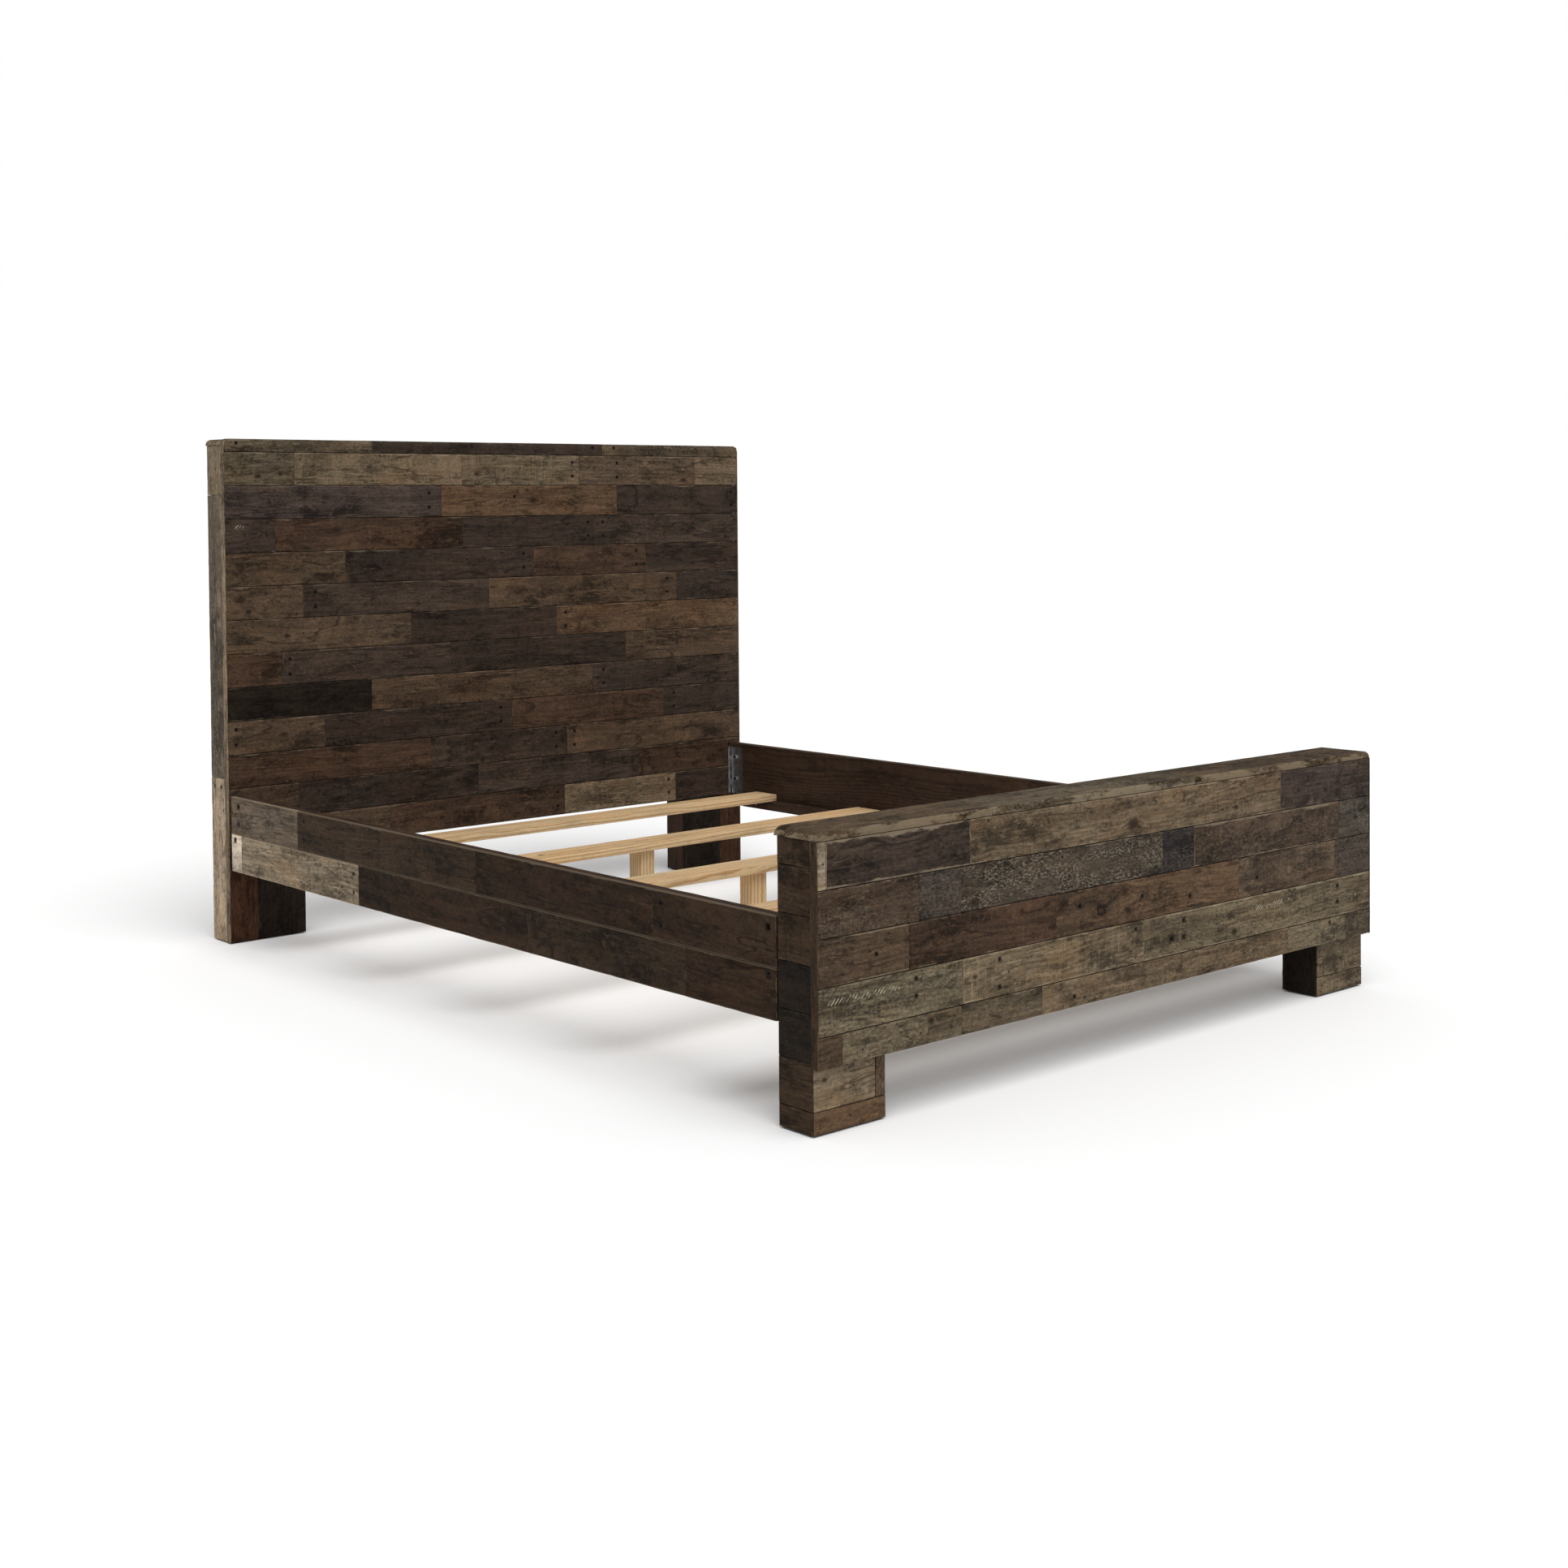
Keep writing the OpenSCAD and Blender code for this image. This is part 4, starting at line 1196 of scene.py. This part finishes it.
def add_screw(piece, points):
    """A countersunk wood screw with a cross recess, in place of a CAD one."""
    (tip, shank_r), (head, head_r) = sorted(ends_of(points), key=lambda end: end[1])
    out = head - tip
    length = np.linalg.norm(out)
    profile = [
        (0.1 * shank_r, -length),
        (0.8 * shank_r, -length + 4 * MM),
        (shank_r, -length + 7 * MM),
        (shank_r, shank_r - head_r - 0.2 * MM),
        (head_r, -0.2 * MM),
        (head_r - 0.15 * MM, 0.0),
    ]
    basis, rim = piece.turn(head, out, profile, SCREW_SIDES, capped=False)
    arm, half = 0.62 * head_r, 0.17 * head_r
    cross = []
    for turn in range(4):
        c, s = math.cos(turn * math.pi / 2), math.sin(turn * math.pi / 2)
        cross += [(c * x - s * y, s * x + c * y) for x, y in ((arm, -half), (arm, half), (half, half))]
    rings = []
    for share, depth in ((1.0, 0.0), (0.55, -0.45 * head_r)):
        rings.append([len(piece.points) + k for k in range(12)])
        for x, y in cross:
            piece.points.append(head + share * (x * basis[0] + y * basis[1]) + depth * basis[2])
    top, floor = rings
    for k in range(12):
        after = (k + 1) % 12
        outer = [rim[(2 * k - 1 + j) % SCREW_SIDES] for j in range(3)]
        piece.faces.append((top[k], *outer, top[after]))
        piece.faces.append((top[k], top[after], floor[after], floor[k]))
    piece.faces.append(tuple(floor))


def rolled_thread(pitch, depth):
    """The wave of a screw thread's radius."""

    def wave(angle, height):
        turn = (height / pitch - angle / (2 * math.pi)) % 1.0
        return -depth * abs(2 * turn - 1)

    return wave


def fluting(count, depth, low=-math.inf, high=math.inf):
    """The wave of the flutes round a part, between two heights."""

    def wave(angle, height):
        return -depth * (0.5 + 0.5 * math.cos(count * angle)) if low < height < high else 0.0

    return wave


def build_levellers():
    """Threaded studs with a hexagon, in moulded pads."""
    thread = rolled_thread(STUD_PITCH, STUD_THREAD)
    knurl = fluting(30, 0.45 * MM, 1 * MM, 5 * MM)
    for i in (1, 2, 3):
        low, high = (np.array(p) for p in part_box(f"leveller_stud_{i}"))
        centre = np.array([(low[X] + high[X]) / 2, (low[Y] + high[Y]) / 2, 0.0])
        heights = np.arange(low[Z] + 0.6 * MM, high[Z] - 0.6 * MM, STUD_PITCH / 5)
        profile = [(STUD_ENDS[0], low[Z]), *((STUD_RADIUS, h) for h in heights), (STUD_ENDS[1], high[Z])]
        stud = Turned(f"leveller_stud_{i}_threaded")
        stud.turn(centre, UPRIGHT, profile, 20, thread)
        stud.turn(centre, UPRIGHT, in_metres(HEXAGON), 6)
        stud.make(materials["zinc_steel"], f"stud_{i}", f"leveller_stud_{i}")
        pad = Turned(f"leveller_pad_{i}_moulded")
        pad.turn(centre, UPRIGHT, in_metres(PAD), 120, knurl)
        pad.make(materials["black_plastic"], f"pad_{i}", f"leveller_pad_{i}")


def build_hardware():
    for node in ("slat_screws", "support_leg_screws", "cleat_screws", "slot_plate_screws"):
        piece = Turned(node + "_recessed")
        for points in solids(node):
            add_screw(piece, points)
        piece.make(materials["zinc_steel"], "frame", node)
    glides = Turned("post_glides_dished")
    for points in solids("post_glides"):
        centre = (points.min(0) + points.max(0)) / 2
        centre[Z] = 0.0
        glides.turn(centre, UPRIGHT, in_metres(GLIDE), 32)
    glides.make(materials["black_plastic"], "frame", "post_glides")
    dowels = Turned("stretcher_dowels_fluted")
    for points in solids("stretcher_dowels"):
        (low, radius), (high, _) = ends_of(points)
        length = np.linalg.norm(high - low)
        narrow, rim = 0.8 * radius, 1.5 * MM
        profile = [(narrow, 0.0), (radius, rim), (radius, length - rim), (narrow, length)]
        dowels.turn(low, high - low, profile, 48, fluting(12, 0.25 * MM))
    dowels.make(dowel_wood("dowel_wood"), "frame", "stretcher_dowels")


def build_staples():
    """Wire staples round the back sheet and along its stretchers."""
    dice = random.Random(7)
    low, high = (np.array(p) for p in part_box("head_back_sheet"))
    left, bottom = low[X] + STAPLE_INSET, low[Z] + STAPLE_INSET
    right, top = high[X] - STAPLE_INSET, high[Z] - STAPLE_INSET
    columns, rows = int((right - left) / STAPLE_PITCH), int((top - bottom) / STAPLE_PITCH)
    spots = []
    for k in range(columns + 1):
        x = left + k * (right - left) / columns
        spots += [(x, z, 0.0) for z in (bottom, (low[Z] + high[Z]) / 2, top)]
    for k in range(1, rows):
        z = bottom + k * (top - bottom) / rows
        spots += [(x, z, math.pi / 2) for x in (left, right)]
    piece = Turned("back_sheet_staples")
    for x, z, angle in spots:
        angle += dice.uniform(-0.25, 0.25)
        x += dice.uniform(-4, 4) * MM
        z += dice.uniform(-3, 3) * MM
        centre = np.array([x, high[Y] - 0.2 * MM, z])
        piece.turn(centre, (math.cos(angle), 0.0, math.sin(angle)), in_metres(STAPLE), 8)
    piece.make(materials["zinc_steel"], "frame", None, "zinc_steel")


def dress_frame():
    """Gives the CAD nodes that stay in view, all of them steel, their materials and soft edges."""
    for name, shown in frame["nodes"].items():
        slot = record_slots[name]
        if shown.hide_render or slot not in ("zinc_steel", "black_steel"):
            continue
        shown.data.materials.clear()
        shown.data.materials.append(materials[slot])
        soften = shown.modifiers.new("soft_edges", "BEVEL")
        soften.width = SOFT_EDGE
        soften.segments = 2
        soften.limit_method = "ANGLE"
        soften.angle_limit = math.radians(50)


make_camera()
make_light()
make_floor()
materials = make_materials()
build_boards()
build_levellers()
build_hardware()
build_staples()
dress_frame()
